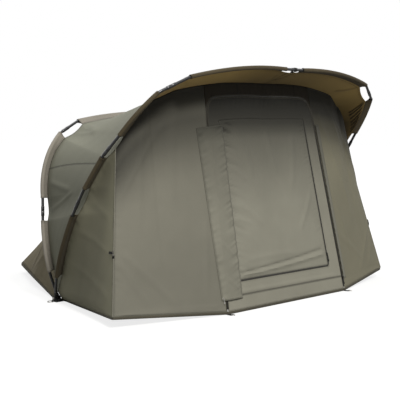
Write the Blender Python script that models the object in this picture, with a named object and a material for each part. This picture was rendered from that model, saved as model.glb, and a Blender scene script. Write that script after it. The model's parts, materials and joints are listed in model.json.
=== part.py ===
"""Two-rib bivvy tent, standing open.

The tent stands on two moulded pivot blocks. Two arched ribs of tube are hinged on one bolt through each
block. The front rib leans forward and carries the peak, and the rear rib stands nearly upright. Cloth
sleeves hold the roof to the ribs and leave the tube bare at each joint. A front wall with a zipped door and
a zipped window hangs from a line under the peak, and a rear wall runs from the rear rib to its hem.

Units are metres. +X is to the right seen from the front, +Y runs to the back and +Z is up. The origin is on
the ground, midway between the ends of the tent and on its centre line.
"""

import math
from dataclasses import dataclass

import bmesh
import bpy
from mathutils import Matrix, Vector

# Clearances and cloth
FIT_GAP = 0.0003
RUN_GAP = 0.0004
CLOTH = 0.0012
SEAM_INSET = 0.0010
CROSS_INSET = 0.003
CUT_OVERRUN = 0.002
ZIP_SLIT = 0.002
BAND_LIFT = 0.0010
HANG_DROP = 0.0016
PROBE = 0.004
PROBE_STEPS = 24
SHARE_MATCH = 0.001
MID_SHARE = 0.5
WELD = 0.00002
SHARP_ANGLE = math.radians(35)
STRAIGHT_ANGLE = math.radians(0.3)

# Pivot blocks, on the ground at each side
PIVOT_HALF = 0.955
PIVOT_Y = 0.0
PIVOT_Z = 0.024
EAR_THICKNESS = 0.006
EAR_RADIUS = 0.013
LUG_THICKNESS = 0.0155
LUG_RADIUS = 0.0115
BASE_PLATE_LENGTH = 0.066
BASE_PLATE_THICKNESS = 0.007
BASE_PLATE_LIP = 0.005
BASE_PLATE_BEVEL = 0.002
BEVEL_STEPS = 2
BOLT_RADIUS = 0.004
BOLT_HEAD_RADIUS = 0.0075
BOLT_HEAD_LENGTH = 0.004
ROUND_SIDES = 16

# Peg rings on the blocks
RING_RADIUS = 0.019
RING_WIRE = 0.0025
RING_HOLE = 0.0031
RING_EDGE = 0.0012
RING_LUG_LENGTH = 0.013
RING_LUG_THICKNESS = 0.006
RING_LUG_HEIGHT = 0.0125
RING_AXIS_Z = 0.0075
RING_MAJOR_SIDES = 24
RING_MINOR_SIDES = 8

# Tubes and their joints
TUBE_RADIUS = 0.0105
TUBE_WALL = 0.0014
TUBE_SIDES = 10
FERRULE_WALL = 0.0016
FERRULE_LENGTH = 0.062
FOOT_COLLAR_RADIUS = 0.0110
FOOT_COLLAR_START = 0.030
FOOT_LENGTH = 0.052
FOOT_TONGUE_HEIGHT = 0.016
FOOT_TONGUE_HALF = 0.0075
SPIGOT_LENGTH = 0.020

# Cloth sleeves round the tubes
SLEEVE_EASE = 0.0008
SLEEVE_CLOTH = 0.0008
SLEEVE_DEPTH = 0.042
SLEEVE_TAIL_HALF = 0.0012
SLEEVE_WAIST_SHARE = 0.5
SLEEVE_WAIST_HALF = 0.0042
SLEEVE_ROUND_STEPS = 7
SLEEVE_ROUND_OPEN = math.radians(62)

# Front rib: half width, length from pivot to crown in its own plane, and lean (forward is negative)
FRONT_HALF_WIDTH = 1.29
FRONT_LENGTH = 1.876
FRONT_LEAN = math.radians(-38.95)
FRONT_FOOT_HALF = PIVOT_HALF + (LUG_THICKNESS + EAR_THICKNESS) / 2 + FIT_GAP
FRONT_SLEEVE_START_SHARE = 0.29
FRONT_A_LOW_SHARES = (0.970, 0.391)
FRONT_A_HIGH_SHARES = (0.995, 0.506)
FRONT_B_LOW_SHARES = (1.0, 0.634)
FRONT_B_HIGH_SHARES = (0.969, 0.720)
FRONT_C_LOW_SHARES = (0.881, 0.8875)
FRONT_C_HIGH_SHARES = (0.7326, 0.9504)
FRONT_CROWN_SHARES = (0.069, 0.9995)
FRONT_LEG_BOW_SHARE = 0.040
FRONT_SIDE_BOW_SHARE = 0.006
FRONT_SHOULDER_BOW_SHARE = 0.050
FRONT_TOP_BOW_SHARE = 0.040

# Rear rib, in the same terms
REAR_HALF_WIDTH = 1.029
REAR_LENGTH = 1.192
REAR_LEAN = math.radians(5.0)
REAR_FOOT_HALF = PIVOT_HALF - (LUG_THICKNESS + EAR_THICKNESS) / 2 - FIT_GAP
REAR_SLEEVE_START_SHARE = 0.35
REAR_A_LOW_SHARES = (1.0, 0.421)
REAR_A_HIGH_SHARES = (0.988, 0.541)
REAR_B_LOW_SHARES = (0.804, 0.889)
REAR_B_HIGH_SHARES = (0.644, 0.955)
REAR_LEG_BOW_SHARE = 0.060
REAR_SIDE_BOW_SHARE = 0.120
REAR_TOP_BOW_SHARE = 0.042
REAR_TOP_STEPS = 22

# Where the joint lies along each bare stretch of tube
A_JOINT_SHARE = 0.42
B_JOINT_SHARE = 0.30
C_JOINT_SHARE = 0.40

# Roof between the ribs
SEAM_SPLIT = 0.0009
SCALLOP = 0.012
ROOF_SAG = 0.006
ROOF_HUB_Z = 0.40
INFILL_EDGE = 0.012
INFILL_SHARE = 0.165
INFILL_FULL_STATION = "c_low_left"
ROOF_PEAK_CELLS = 2
ROOF_BACK_CELLS = 5
ROOF_SPLIT = "b3_"
CREASE_STATION = "b_mid_"

# Hem corners: front wall corner, door corner, rear side bend and rear corner
CORNER_X = 1.430
CORNER_Y = -0.965
CORNER_LIFT = 0.052
DOOR_HALF_FOOT = 0.637
DOOR_FOOT_Y = -1.155
BEND_X = 0.600
BEND_Y = 0.620
BEND_LIFT = 0.058
REAR_X = 0.180
REAR_Y = 1.228
REAR_LIFT = 0.058
HEM_HEIGHT = 0.014
HEM_THICKNESS = 0.005
HEM_PIVOT_CLEARANCE = 0.050

# Front wall: top ends of its straight lines, as distances from the centre line
LEFT_DOOR_HALF_TOP = 0.600
RIGHT_DOOR_HALF_TOP = 0.478
WINDOW_HALF_FOOT = 0.500
LEFT_WINDOW_HALF_TOP = 0.512
RIGHT_WINDOW_HALF_TOP = 0.355
WINDOW_LOW_Z = 0.175
WINDOW_HIGH_SHARE = 0.835
DOOR_HIGH_SHARE = 0.940
DOOR_CORNER_SHARES = ((1.0, 0.860), (0.975, 0.900), (0.930, 0.925), (0.870, 0.937))
WINDOW_COLUMNS = 6
WINDOW_ROWS = 8
WINDOW_BILLOW = 0.010
HEADER_ROWS = 3
PANEL_ROWS = 6

# Rear wall
REAR_WALL_ROWS = 6
REAR_WALL_SAG = 0.075
REAR_HUB_Z = 0.30
REAR_HEM_BEND_SHARE = 0.40
REAR_HEM_CORNER_SHARE = 0.82

# Side panels of the front wall
SIDE_COLUMNS = 4
SIDE_TIP_SHARE = 0.97
SIDE_SAG = 0.020

# Zips, sliders and flaps
ZIP_WIDTH = 0.016
ZIP_THICKNESS = 0.003
SLIDER_WIDTH = 0.012
SLIDER_LENGTH = 0.024
SLIDER_THICKNESS = 0.006
PULL_LENGTH = 0.040
PULL_THICKNESS = 0.002
ZIP_START_SHARE = 0.012
ZIP_STEPS = 4
DOOR_SLIDER_START_SHARE = 0.050
WINDOW_SLIDER_SHARE = 0.045
LEFT_FLAP_FOOT = DOOR_HALF_FOOT + 0.033
LEFT_FLAP_TOP = DOOR_HALF_FOOT + 0.075
LEFT_FLAP_INNER = DOOR_HALF_FOOT - 0.137
FLAP_LOW_SHARE = 0.050
FLAP_HIGH_SHARE = 0.815
FLAP_SEAT = 0.0020
FLAP_RISE = 0.0090
FLAP_CREST_SHARE = 0.5
FLAP_ROWS = 16
FLAP_COLUMNS = 5
FLAP_WAVE = 0.0035
FLAP_WAVES = 5
RIGHT_FLAP_OUTER = 0.060
RIGHT_FLAP_INNER = 0.012
RIGHT_FLAP_RISE = 0.004
RIGHT_FLAP_COLUMNS = 2

# Toggles on the side panels and fittings at the door corners
TOGGLE_RADIUS = 0.005
TOGGLE_LENGTH = 0.034
TOGGLE_STANDOFF = 0.0002
TOGGLE_SHARE = 0.37
TOGGLE_FACING = -0.25
STRAP_WIDTH = 0.026
STRAP_THICKNESS = 0.0022
STRAP_LENGTH = 0.050
EYE_RADIUS = 0.010
EYE_WIRE = 0.0022

MATERIALS = {
    "tube": ((0.020, 0.020, 0.021, 1.0), 0.35, 0.6),
    "block": ((0.016, 0.016, 0.016, 1.0), 0.55, 0.0),
    "steel": ((0.55, 0.55, 0.54, 1.0), 0.30, 1.0),
    "front_sleeve": ((0.085, 0.066, 0.040, 1.0), 0.85, 0.0),
    "rear_sleeve": ((0.250, 0.225, 0.180, 1.0), 0.85, 0.0),
    "roof": ((0.175, 0.165, 0.105, 1.0), 0.80, 0.0),
    "wall": ((0.205, 0.200, 0.155, 1.0), 0.85, 0.0),
    "zip": ((0.030, 0.028, 0.022, 1.0), 0.60, 0.0),
    "webbing": ((0.025, 0.024, 0.022, 1.0), 0.90, 0.0),
}

UP = Vector((0.0, 0.0, 1.0))
SIDEWAYS = Vector((1.0, 0.0, 0.0))
FORWARD = Vector((0.0, 1.0, 0.0))
PIVOT = Vector((0.0, PIVOT_Y, PIVOT_Z))


def clear_scene():
    """Removes the objects of the scene that is open."""
    for old in list(bpy.data.objects):
        bpy.data.objects.remove(old, do_unlink=True)


def material(name, finish):
    """A Principled material of a finish, for one piece."""
    colour, roughness, metallic = MATERIALS[finish]
    made = bpy.data.materials.new(name)
    made.use_nodes = True
    shader = made.node_tree.nodes["Principled BSDF"]
    shader.inputs["Base Color"].default_value = colour
    shader.inputs["Roughness"].default_value = roughness
    shader.inputs["Metallic"].default_value = metallic
    return made


def place(name, bm, finish, origin=None, smooth=True):
    """Writes a bmesh to an object of that name, with its material and its origin."""
    origin = Vector() if origin is None else Vector(origin)
    bmesh.ops.translate(bm, verts=bm.verts, vec=-origin)
    mesh = bpy.data.meshes.new(name)
    bm.to_mesh(mesh)
    bm.free()
    if smooth:
        mesh.shade_smooth()
        mesh.set_sharp_from_angle(angle=SHARP_ANGLE)
    piece = bpy.data.objects.new(name, mesh)
    piece.location = origin
    bpy.context.scene.collection.objects.link(piece)
    mesh.materials.append(material(name, finish))
    return piece


def extrude_rows(bm, rows, closed):
    """Extrudes a chain of edges through rows of points, and returns the first and last chain."""
    chain = [bm.verts.new(point) for point in rows[0]]
    pairs = list(zip(chain, chain[1:]))
    if closed:
        pairs.append((chain[-1], chain[0]))
    edges = [bm.edges.new(pair) for pair in pairs]
    first = list(chain)
    for row in rows[1:]:
        places = {tuple(vert.co): index for index, vert in enumerate(chain)}
        grown = bmesh.ops.extrude_edge_only(bm, edges=edges)["geom"]
        fresh = [item for item in grown if isinstance(item, bmesh.types.BMVert)]
        chain = [None] * len(row)
        for vert in fresh:
            chain[places[tuple(vert.co)]] = vert
        for vert, point in zip(chain, row):
            vert.co = point
        kept = set(chain)
        edges = [
            item for item in grown
            if isinstance(item, bmesh.types.BMEdge) and item.verts[0] in kept and item.verts[1] in kept
        ]
    return first, chain


def middle(points):
    """The mean of some points."""
    return sum((Vector(point) for point in points), Vector()) / len(points)


def sweep_into(bm, rows, capped):
    """Adds a sweep through rings of points, with its faces turned outward and its ends closed if asked."""
    known = set(bm.faces)
    first, last = extrude_rows(bm, rows, closed=True)
    fresh = [face for face in bm.faces if face not in known]
    bmesh.ops.recalc_face_normals(bm, faces=fresh)
    bm.normal_update()
    centre = (middle(rows[0]) + middle(rows[1])) / 2
    start = set(first)
    outward = 0.0
    for face in fresh:
        if any(vert in start for vert in face.verts):
            outward += face.calc_area() * face.normal.dot(face.calc_center_median() - centre)
    if outward < 0:
        bmesh.ops.reverse_faces(bm, faces=fresh)
    if capped:
        fresh += [bm.faces.new(first), bm.faces.new(last)]
        bmesh.ops.recalc_face_normals(bm, faces=fresh)


def thicken(piece, thickness, offset=0.0):
    """Gives a sheet or an open tube its wall."""
    wall = piece.modifiers.new("wall", "SOLIDIFY")
    wall.thickness = thickness
    wall.offset = offset
    wall.use_rim = True
    wall.use_even_offset = False
    return wall


def inset_rows(rows, low, high, first, last):
    """Moves the ends of each row in by first and last, and the first and last rows in by low and high."""
    moved = [[Vector(point) for point in row] for row in rows]
    for index in range(len(moved[0])):
        moved[0][index] += (moved[1][index] - moved[0][index]).normalized() * low
        moved[-1][index] += (moved[-2][index] - moved[-1][index]).normalized() * high
    for row in moved:
        row[0] += (row[1] - row[0]).normalized() * first
        row[-1] += (row[-2] - row[-1]).normalized() * last
    return moved


def sheet(name, rows, finish, origin=None, skip=None):
    """A cloth panel through rows of points. Cells for which skip(row, column) is true are left out."""
    bm = bmesh.new()
    extrude_rows(bm, rows, closed=False)
    if skip is not None:
        cells = {}
        for row_index, row in enumerate(rows):
            for column_index, point in enumerate(row):
                cells[tuple(Vector(point))] = (row_index, column_index)
        dropped = []
        for face in bm.faces:
            corners = [cells[tuple(vert.co)] for vert in face.verts]
            if skip(min(corner[0] for corner in corners), min(corner[1] for corner in corners)):
                dropped.append(face)
        bmesh.ops.delete(bm, geom=dropped, context="FACES")
    bmesh.ops.recalc_face_normals(bm, faces=bm.faces)
    piece = place(name, bm, finish, origin)
    thicken(piece, CLOTH)
    return piece


def band(name, path, sides, lifts, width, thickness, finish, origin=None):
    """A flat strip along a path, lifted off the cloth under it."""
    rows = []
    for point, side, lift in zip(path, sides, lifts):
        rows.append([
            point + side * (width / 2) + lift * (BAND_LIFT + thickness),
            point - side * (width / 2) + lift * (BAND_LIFT + thickness),
            point - side * (width / 2) + lift * BAND_LIFT,
            point + side * (width / 2) + lift * BAND_LIFT,
        ])
    bm = bmesh.new()
    sweep_into(bm, rows, capped=True)
    return place(name, bm, finish, origin)


def bake(piece):
    """Applies the modifiers of a piece."""
    bpy.context.view_layer.update()
    graph = bpy.context.evaluated_depsgraph_get()
    mesh = bpy.data.meshes.new_from_object(piece.evaluated_get(graph))
    piece.modifiers.clear()
    piece.data = mesh
    return piece


def combine(piece, others, operation):
    """Joins other solids to a piece, or cuts them out of it, and removes them."""
    for other in others:
        step = piece.modifiers.new(operation.lower(), "BOOLEAN")
        step.operation = operation
        step.solver = "EXACT"
        step.object = other
        bake(piece)
        bpy.data.objects.remove(other, do_unlink=True)
    return piece


def box(name, centre, size, finish, origin=None, bevel=0.0):
    """A box, with its edges rounded off if asked."""
    bm = bmesh.new()
    bmesh.ops.create_cube(bm, size=1.0)
    bmesh.ops.scale(bm, verts=bm.verts, vec=Vector(size))
    if bevel:
        bmesh.ops.bevel(bm, geom=bm.edges, offset=bevel, segments=BEVEL_STEPS, profile=MID_SHARE, affect="EDGES")
    bmesh.ops.translate(bm, verts=bm.verts, vec=Vector(centre))
    return place(name, bm, finish, origin)


def rod_into(bm, centre, axis, radius, length, sides=ROUND_SIDES):
    """Adds a round rod to a bmesh, centred on a point."""
    turn = UP.rotation_difference(Vector(axis)).to_matrix().to_4x4()
    bmesh.ops.create_cone(
        bm, cap_ends=True, segments=sides, radius1=radius, radius2=radius, depth=length,
        matrix=Matrix.Translation(Vector(centre)) @ turn,
    )


def rod(name, centre, axis, radius, length, finish, origin=None):
    """A round rod, centred on a point."""
    bm = bmesh.new()
    rod_into(bm, centre, axis, radius, length)
    return place(name, bm, finish, origin)


def hoop_into(bm, centre, radius, wire, pitch, major=RING_MAJOR_SIDES, minor=RING_MINOR_SIDES):
    """Adds a wire ring that lies flat, tipped down outward by pitch about the Y axis through its centre."""
    tip = Matrix.Rotation(pitch, 3, "Y")
    rows = []
    for step in range(major + 1):
        angle = 2 * math.pi * (step % major) / major
        out = Vector((math.cos(angle), math.sin(angle), 0.0))
        ring = []
        for part in range(minor):
            turn = 2 * math.pi * part / minor
            ring.append(centre + tip @ (out * (radius + wire * math.cos(turn)) + UP * (wire * math.sin(turn))))
        rows.append(ring)
    known = set(bm.verts)
    sweep_into(bm, rows, capped=False)
    fresh = [vert for vert in bm.verts if vert not in known]
    bmesh.ops.remove_doubles(bm, verts=fresh, dist=FIT_GAP / 2)


@dataclass
class Rib:
    """An arched rib: its points in its own plane as (sideways, out from the pivot), with their names."""

    lean: float
    points: list
    names: list

    def mark(self, name):
        """The index of a named point."""
        return self.names.index(name)

    def world(self, sideways, out, across=0.0):
        """A place in the rib's plane, or across it towards the front, as a point of the model."""
        y = PIVOT_Y + out * math.sin(self.lean) - across * math.cos(self.lean)
        z = PIVOT_Z + out * math.cos(self.lean) + across * math.sin(self.lean)
        return Vector((sideways, y, z))

    def run(self, index):
        """The direction of the rib at a point, in its plane."""
        total = Vector((0.0, 0.0))
        here = self.points[index]
        if index > 0:
            total += (here - self.points[index - 1]).normalized()
        if index < len(self.points) - 1:
            total += (self.points[index + 1] - here).normalized()
        return total.normalized()

    def bends(self, index):
        """True where the rib changes direction at a point."""
        if index in (0, len(self.points) - 1):
            return False
        here = self.points[index]
        before = (here - self.points[index - 1]).normalized()
        after = (self.points[index + 1] - here).normalized()
        return before.angle(after) > STRAIGHT_ANGLE

    def ring(self, index, profile):
        """A loop of points round the rib, from a profile of (inward, across) places."""
        run = self.run(index)
        inward = Vector((run.y, -run.x))
        loop = []
        for depth, across in profile:
            spot = self.points[index] + inward * depth
            loop.append(self.world(spot.x, spot.y, across))
        return loop

    def seam(self, across):
        """The line where the roof or a wall is sewn to the sleeves, from the left foot to the right."""
        line = []
        for index, name in enumerate(self.names):
            if "joint" in name or "ferrule" in name:
                continue
            run = self.run(index)
            depth = SLEEVE_DEPTH + SEAM_INSET
            if "mid" in name:
                depth += SCALLOP
            spot = self.points[index] + Vector((run.y, -run.x)) * depth
            line.append(self.world(spot.x, spot.y, across))
        return line

    def stations(self):
        """The names of the points that a seam line has, in its order."""
        return [name for name in self.names if "joint" not in name and "ferrule" not in name]


def bow_point(start, end, bow_share, share):
    """A point at a share of a shallow bow that bulges to the left of its run."""
    run = end - start
    side = Vector((-run.y, run.x)) * bow_share
    return start + run * share + side * (4 * share * (1 - share))


def bare_stretch(name, low, high, joint_share):
    """Named points along a bare stretch of tube, with its butt joint and the ends of its ferrule."""
    run = high - low
    gap = FIT_GAP / run.length
    half = FERRULE_LENGTH / 2 / run.length
    shares = [
        (joint_share - half, name + "_ferrule_low"),
        (joint_share - gap, name + "_joint_low"),
        (joint_share + gap, name + "_joint_high"),
        (joint_share + half, name + "_ferrule_high"),
        (MID_SHARE, name + "_mid"),
    ]
    return [(title, low + run * share) for share, title in sorted(shares)] + [(name + "_high", high)]


def half_line(foot_half, width, length, stretches):
    """The left half of a rib, from its foot up, as (name, point) pairs."""
    foot = Vector((-foot_half, 0.0))
    line = []
    here = foot
    for kind, name, target_shares, value, steps, start_share in stretches:
        target = Vector((-width * target_shares[0], length * target_shares[1]))
        if kind == "bare":
            line += bare_stretch(name, here, target, value)
        else:
            shares = [start_share + (1 - start_share) * step / steps for step in range(steps)]
            points = [bow_point(here, target, value, share) for share in shares]
            if kind == "leg":
                line.append(("foot", foot + (points[0] - foot).normalized() * FOOT_LENGTH))
                line.append(("sleeve_start", points[0]))
            line += [(name + str(step), points[step]) for step in range(1, steps)]
            line.append((name + "_low", target))
        here = target
    return line


def make_rib(lean, left, crown):
    """A whole rib from its left half, with the named points of a crown between the halves."""
    named = [(name + "_left", point) for name, point in left]
    named += crown
    named += [(name + "_right", Vector((-point.x, point.y))) for name, point in reversed(left)]
    return Rib(lean, [point for name, point in named], [name for name, point in named])


def front_rib():
    """The front rib, with three bare stretches at each side and one at the crown."""
    stretches = [
        ("leg", "a", FRONT_A_LOW_SHARES, FRONT_LEG_BOW_SHARE, 3, FRONT_SLEEVE_START_SHARE),
        ("bare", "a", FRONT_A_HIGH_SHARES, A_JOINT_SHARE, 0, 0),
        ("sleeve", "b", FRONT_B_LOW_SHARES, FRONT_SIDE_BOW_SHARE, 4, 0),
        ("bare", "b", FRONT_B_HIGH_SHARES, B_JOINT_SHARE, 0, 0),
        ("sleeve", "c", FRONT_C_LOW_SHARES, FRONT_SHOULDER_BOW_SHARE, 3, 0),
        ("bare", "c", FRONT_C_HIGH_SHARES, C_JOINT_SHARE, 0, 0),
        ("sleeve", "crown", FRONT_CROWN_SHARES, FRONT_TOP_BOW_SHARE, 5, 0),
    ]
    left = half_line(FRONT_FOOT_HALF, FRONT_HALF_WIDTH, FRONT_LENGTH, stretches)
    top = FRONT_LENGTH * FRONT_CROWN_SHARES[1]
    half = FERRULE_LENGTH / 2
    crown = [
        ("crown_ferrule_left", Vector((-half, top))),
        ("crown_joint_left", Vector((-FIT_GAP, top))),
        ("crown_mid", Vector((0.0, top))),
        ("crown_joint_right", Vector((FIT_GAP, top))),
        ("crown_ferrule_right", Vector((half, top))),
    ]
    return make_rib(FRONT_LEAN, left, crown)


def rear_rib():
    """The rear rib, with two bare stretches at each side and one long tube across the top."""
    stretches = [
        ("leg", "a", REAR_A_LOW_SHARES, REAR_LEG_BOW_SHARE, 3, REAR_SLEEVE_START_SHARE),
        ("bare", "a", REAR_A_HIGH_SHARES, A_JOINT_SHARE, 0, 0),
        ("sleeve", "b", REAR_B_LOW_SHARES, REAR_SIDE_BOW_SHARE, 4, 0),
        ("bare", "b", REAR_B_HIGH_SHARES, B_JOINT_SHARE, 0, 0),
    ]
    left = half_line(REAR_FOOT_HALF, REAR_HALF_WIDTH, REAR_LENGTH, stretches)
    start = left[-1][1]
    end = Vector((-start.x, start.y))
    half = [bow_point(start, end, REAR_TOP_BOW_SHARE, step / REAR_TOP_STEPS) for step in range(REAR_TOP_STEPS)]
    left += [("top" + str(step), half[step]) for step in range(1, REAR_TOP_STEPS // 2)]
    crown = [("crown", bow_point(start, end, REAR_TOP_BOW_SHARE, MID_SHARE))]
    return make_rib(REAR_LEAN, left, crown)


def circle_profile(radius, sides=TUBE_SIDES):
    """A round profile of (inward, across) places."""
    steps = [2 * math.pi * step / sides for step in range(sides)]
    return [(radius * math.cos(angle), radius * math.sin(angle)) for angle in steps]


def sleeve_profile():
    """A pole sleeve's inner outline: round the tube, then drawn in to the stitched tail."""
    radius = TUBE_RADIUS + SLEEVE_EASE
    tail = SLEEVE_DEPTH - SLEEVE_CLOTH
    sweep = 2 * (math.pi - SLEEVE_ROUND_OPEN)
    outline = []
    for step in range(SLEEVE_ROUND_STEPS):
        angle = SLEEVE_ROUND_OPEN + sweep * step / (SLEEVE_ROUND_STEPS - 1)
        outline.append((radius * math.cos(angle), radius * math.sin(angle)))
    outline.append((tail * SLEEVE_WAIST_SHARE, -SLEEVE_WAIST_HALF))
    outline.append((tail, -SLEEVE_TAIL_HALF))
    outline.append((tail, SLEEVE_TAIL_HALF))
    outline.append((tail * SLEEVE_WAIST_SHARE, SLEEVE_WAIST_HALF))
    return outline


def span_rows(rib, start, end, profile):
    """Rings from one named point of a rib to another, at its ends and at each bend between."""
    first = rib.mark(start)
    last = rib.mark(end)
    kept = [index for index in range(first, last + 1) if index in (first, last) or rib.bends(index)]
    return [rib.ring(index, profile) for index in kept]


def sleeve(name, rib, start, end, finish):
    """A cloth sleeve on a length of rib, between two of its named points."""
    bm = bmesh.new()
    sweep_into(bm, span_rows(rib, start, end, sleeve_profile()), capped=False)
    piece = place(name, bm, finish, PIVOT)
    thicken(piece, SLEEVE_CLOTH, 1.0)


def pole(name, rib, start, end, ferrule):
    """A length of tube. Its ferrule is a pair of named points, at the start or the end of the tube."""
    outer = circle_profile(TUBE_RADIUS)
    bore = circle_profile(TUBE_RADIUS - TUBE_WALL)
    socket = circle_profile(TUBE_RADIUS + FIT_GAP)
    collar = circle_profile(TUBE_RADIUS + FIT_GAP + FERRULE_WALL)
    if ferrule is None:
        rows = span_rows(rib, start, end, outer) + list(reversed(span_rows(rib, start, end, bore)))
    elif rib.mark(ferrule[0]) < rib.mark(start):
        rows = span_rows(rib, ferrule[0], ferrule[1], collar) + span_rows(rib, ferrule[1], end, outer)
        rows += list(reversed(span_rows(rib, start, end, bore)))
        rows += list(reversed(span_rows(rib, ferrule[0], start, socket)))
    else:
        rows = span_rows(rib, start, ferrule[0], outer) + span_rows(rib, ferrule[0], ferrule[1], collar)
        rows += list(reversed(span_rows(rib, end, ferrule[1], socket)))
        rows += list(reversed(span_rows(rib, start, end, bore)))
    bm = bmesh.new()
    sweep_into(bm, rows + [rows[0]], capped=False)
    bmesh.ops.remove_doubles(bm, verts=bm.verts, dist=WELD)
    bmesh.ops.recalc_face_normals(bm, faces=bm.faces)
    place(name, bm, "tube", PIVOT)


def mirrored_span(span):
    """The same span on the right of a rib."""
    start, end = span
    return end.replace("left", "right"), start.replace("left", "right")


def build_rib(rib, title, spans, sleeve_spans, finish):
    """The poles and sleeves of both sides of a rib. Each pole has its ferrule at its upper end."""
    for number, (span, ferrule) in enumerate(spans, start=1):
        pole(f"{title}_pole_{number}_left", rib, *span, ferrule)
        other = None if ferrule is None or "crown" in ferrule[0] else mirrored_span(ferrule)
        pole(f"{title}_pole_{number}_right", rib, *mirrored_span(span), other)
    for number, span in enumerate(sleeve_spans, start=1):
        sleeve(f"{title}_sleeve_{number}_left", rib, *span, finish)
        sleeve(f"{title}_sleeve_{number}_right", rib, *mirrored_span(span), finish)


def ferrule_span(name):
    """The named ends of a ferrule on the left of a rib."""
    return f"{name}_ferrule_low_left", f"{name}_ferrule_high_left"


def build_front_rib(rib):
    """The front rib: eight poles and eight sleeves. The left crown pole carries the ferrule at the top."""
    spans = [
        (("foot_left", "a_joint_low_left"), ferrule_span("a")),
        (("a_joint_high_left", "b_joint_low_left"), ferrule_span("b")),
        (("b_joint_high_left", "c_joint_low_left"), ferrule_span("c")),
        (("c_joint_high_left", "crown_joint_left"), ("crown_ferrule_left", "crown_ferrule_right")),
    ]
    sleeve_spans = [
        ("sleeve_start_left", "a_low_left"),
        ("a_high_left", "b_low_left"),
        ("b_high_left", "c_low_left"),
        ("c_high_left", "crown_low_left"),
    ]
    build_rib(rib, "front", spans, sleeve_spans, "front_sleeve")


def build_rear_rib(rib):
    """The rear rib: two poles and two sleeves at each side, and a long pole and sleeve over the top."""
    spans = [
        (("foot_left", "a_joint_low_left"), ferrule_span("a")),
        (("a_joint_high_left", "b_joint_low_left"), ferrule_span("b")),
    ]
    sleeve_spans = [("sleeve_start_left", "a_low_left"), ("a_high_left", "b_low_left")]
    build_rib(rib, "rear", spans, sleeve_spans, "rear_sleeve")
    pole("rear_pole_top", rib, "b_joint_high_left", "b_joint_high_right", None)
    sleeve("rear_sleeve_top", rib, "b_high_left", "b_high_right", "rear_sleeve")


def foot_ring(rib, side, out, radius):
    """A ring of the round part of a rib's foot, square to the first length of tube."""
    index = rib.mark("foot_" + side)
    pivot = Vector((math.copysign(rib_foot_half(rib), rib.points[index].x), 0.0))
    run = (rib.points[index] - pivot).normalized()
    spot = pivot + run * out
    loop = []
    for step in range(ROUND_SIDES):
        angle = 2 * math.pi * step / ROUND_SIDES
        place_in = spot + Vector((run.y, -run.x)) * (radius * math.cos(angle))
        loop.append(rib.world(place_in.x, place_in.y, radius * math.sin(angle)))
    return loop


def tongue_ring(rib, side, out):
    """A ring of the flat part of a rib's foot, between the ears of its block."""
    index = rib.mark("foot_" + side)
    middle_x = math.copysign(rib_foot_half(rib), rib.points[index].x)
    loop = []
    for step in range(ROUND_SIDES):
        angle = 2 * math.pi * step / ROUND_SIDES
        wide = max(-1.0, min(1.0, math.cos(angle) * math.sqrt(2)))
        deep = max(-1.0, min(1.0, math.sin(angle) * math.sqrt(2)))
        loop.append(rib.world(middle_x + wide * LUG_THICKNESS / 2, out, deep * FOOT_TONGUE_HALF))
    return loop


def rib_foot_half(rib):
    """How far a rib's foot stands from the centre line."""
    return FRONT_FOOT_HALF if rib.lean == FRONT_LEAN else REAR_FOOT_HALF


def build_foot(rib, title, side):
    """The moulded foot of a rib: a lug on the bolt, a neck and a spigot in the tube."""
    spigot = (TUBE_RADIUS - TUBE_WALL) * math.cos(math.pi / TUBE_SIDES) - FIT_GAP
    bm = bmesh.new()
    rows = [
        tongue_ring(rib, side, 0.0),
        tongue_ring(rib, side, FOOT_TONGUE_HEIGHT),
        foot_ring(rib, side, FOOT_COLLAR_START, FOOT_COLLAR_RADIUS),
        foot_ring(rib, side, FOOT_LENGTH - FIT_GAP, FOOT_COLLAR_RADIUS),
        foot_ring(rib, side, FOOT_LENGTH - FIT_GAP, spigot),
        foot_ring(rib, side, FOOT_LENGTH + SPIGOT_LENGTH, spigot),
    ]
    sweep_into(bm, rows, capped=True)
    name = f"{title}_foot_{side}"
    piece = place(name, bm, "block", PIVOT)
    sign = -1 if side == "left" else 1
    centre = Vector((sign * rib_foot_half(rib), PIVOT_Y, PIVOT_Z))
    lug = rod("lug", centre, SIDEWAYS, LUG_RADIUS, LUG_THICKNESS, "block")
    combine(piece, [lug], "UNION")
    hole = rod("hole", centre, SIDEWAYS, BOLT_RADIUS + FIT_GAP, LUG_THICKNESS + CUT_OVERRUN, "block")
    combine(piece, [hole], "DIFFERENCE")


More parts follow.
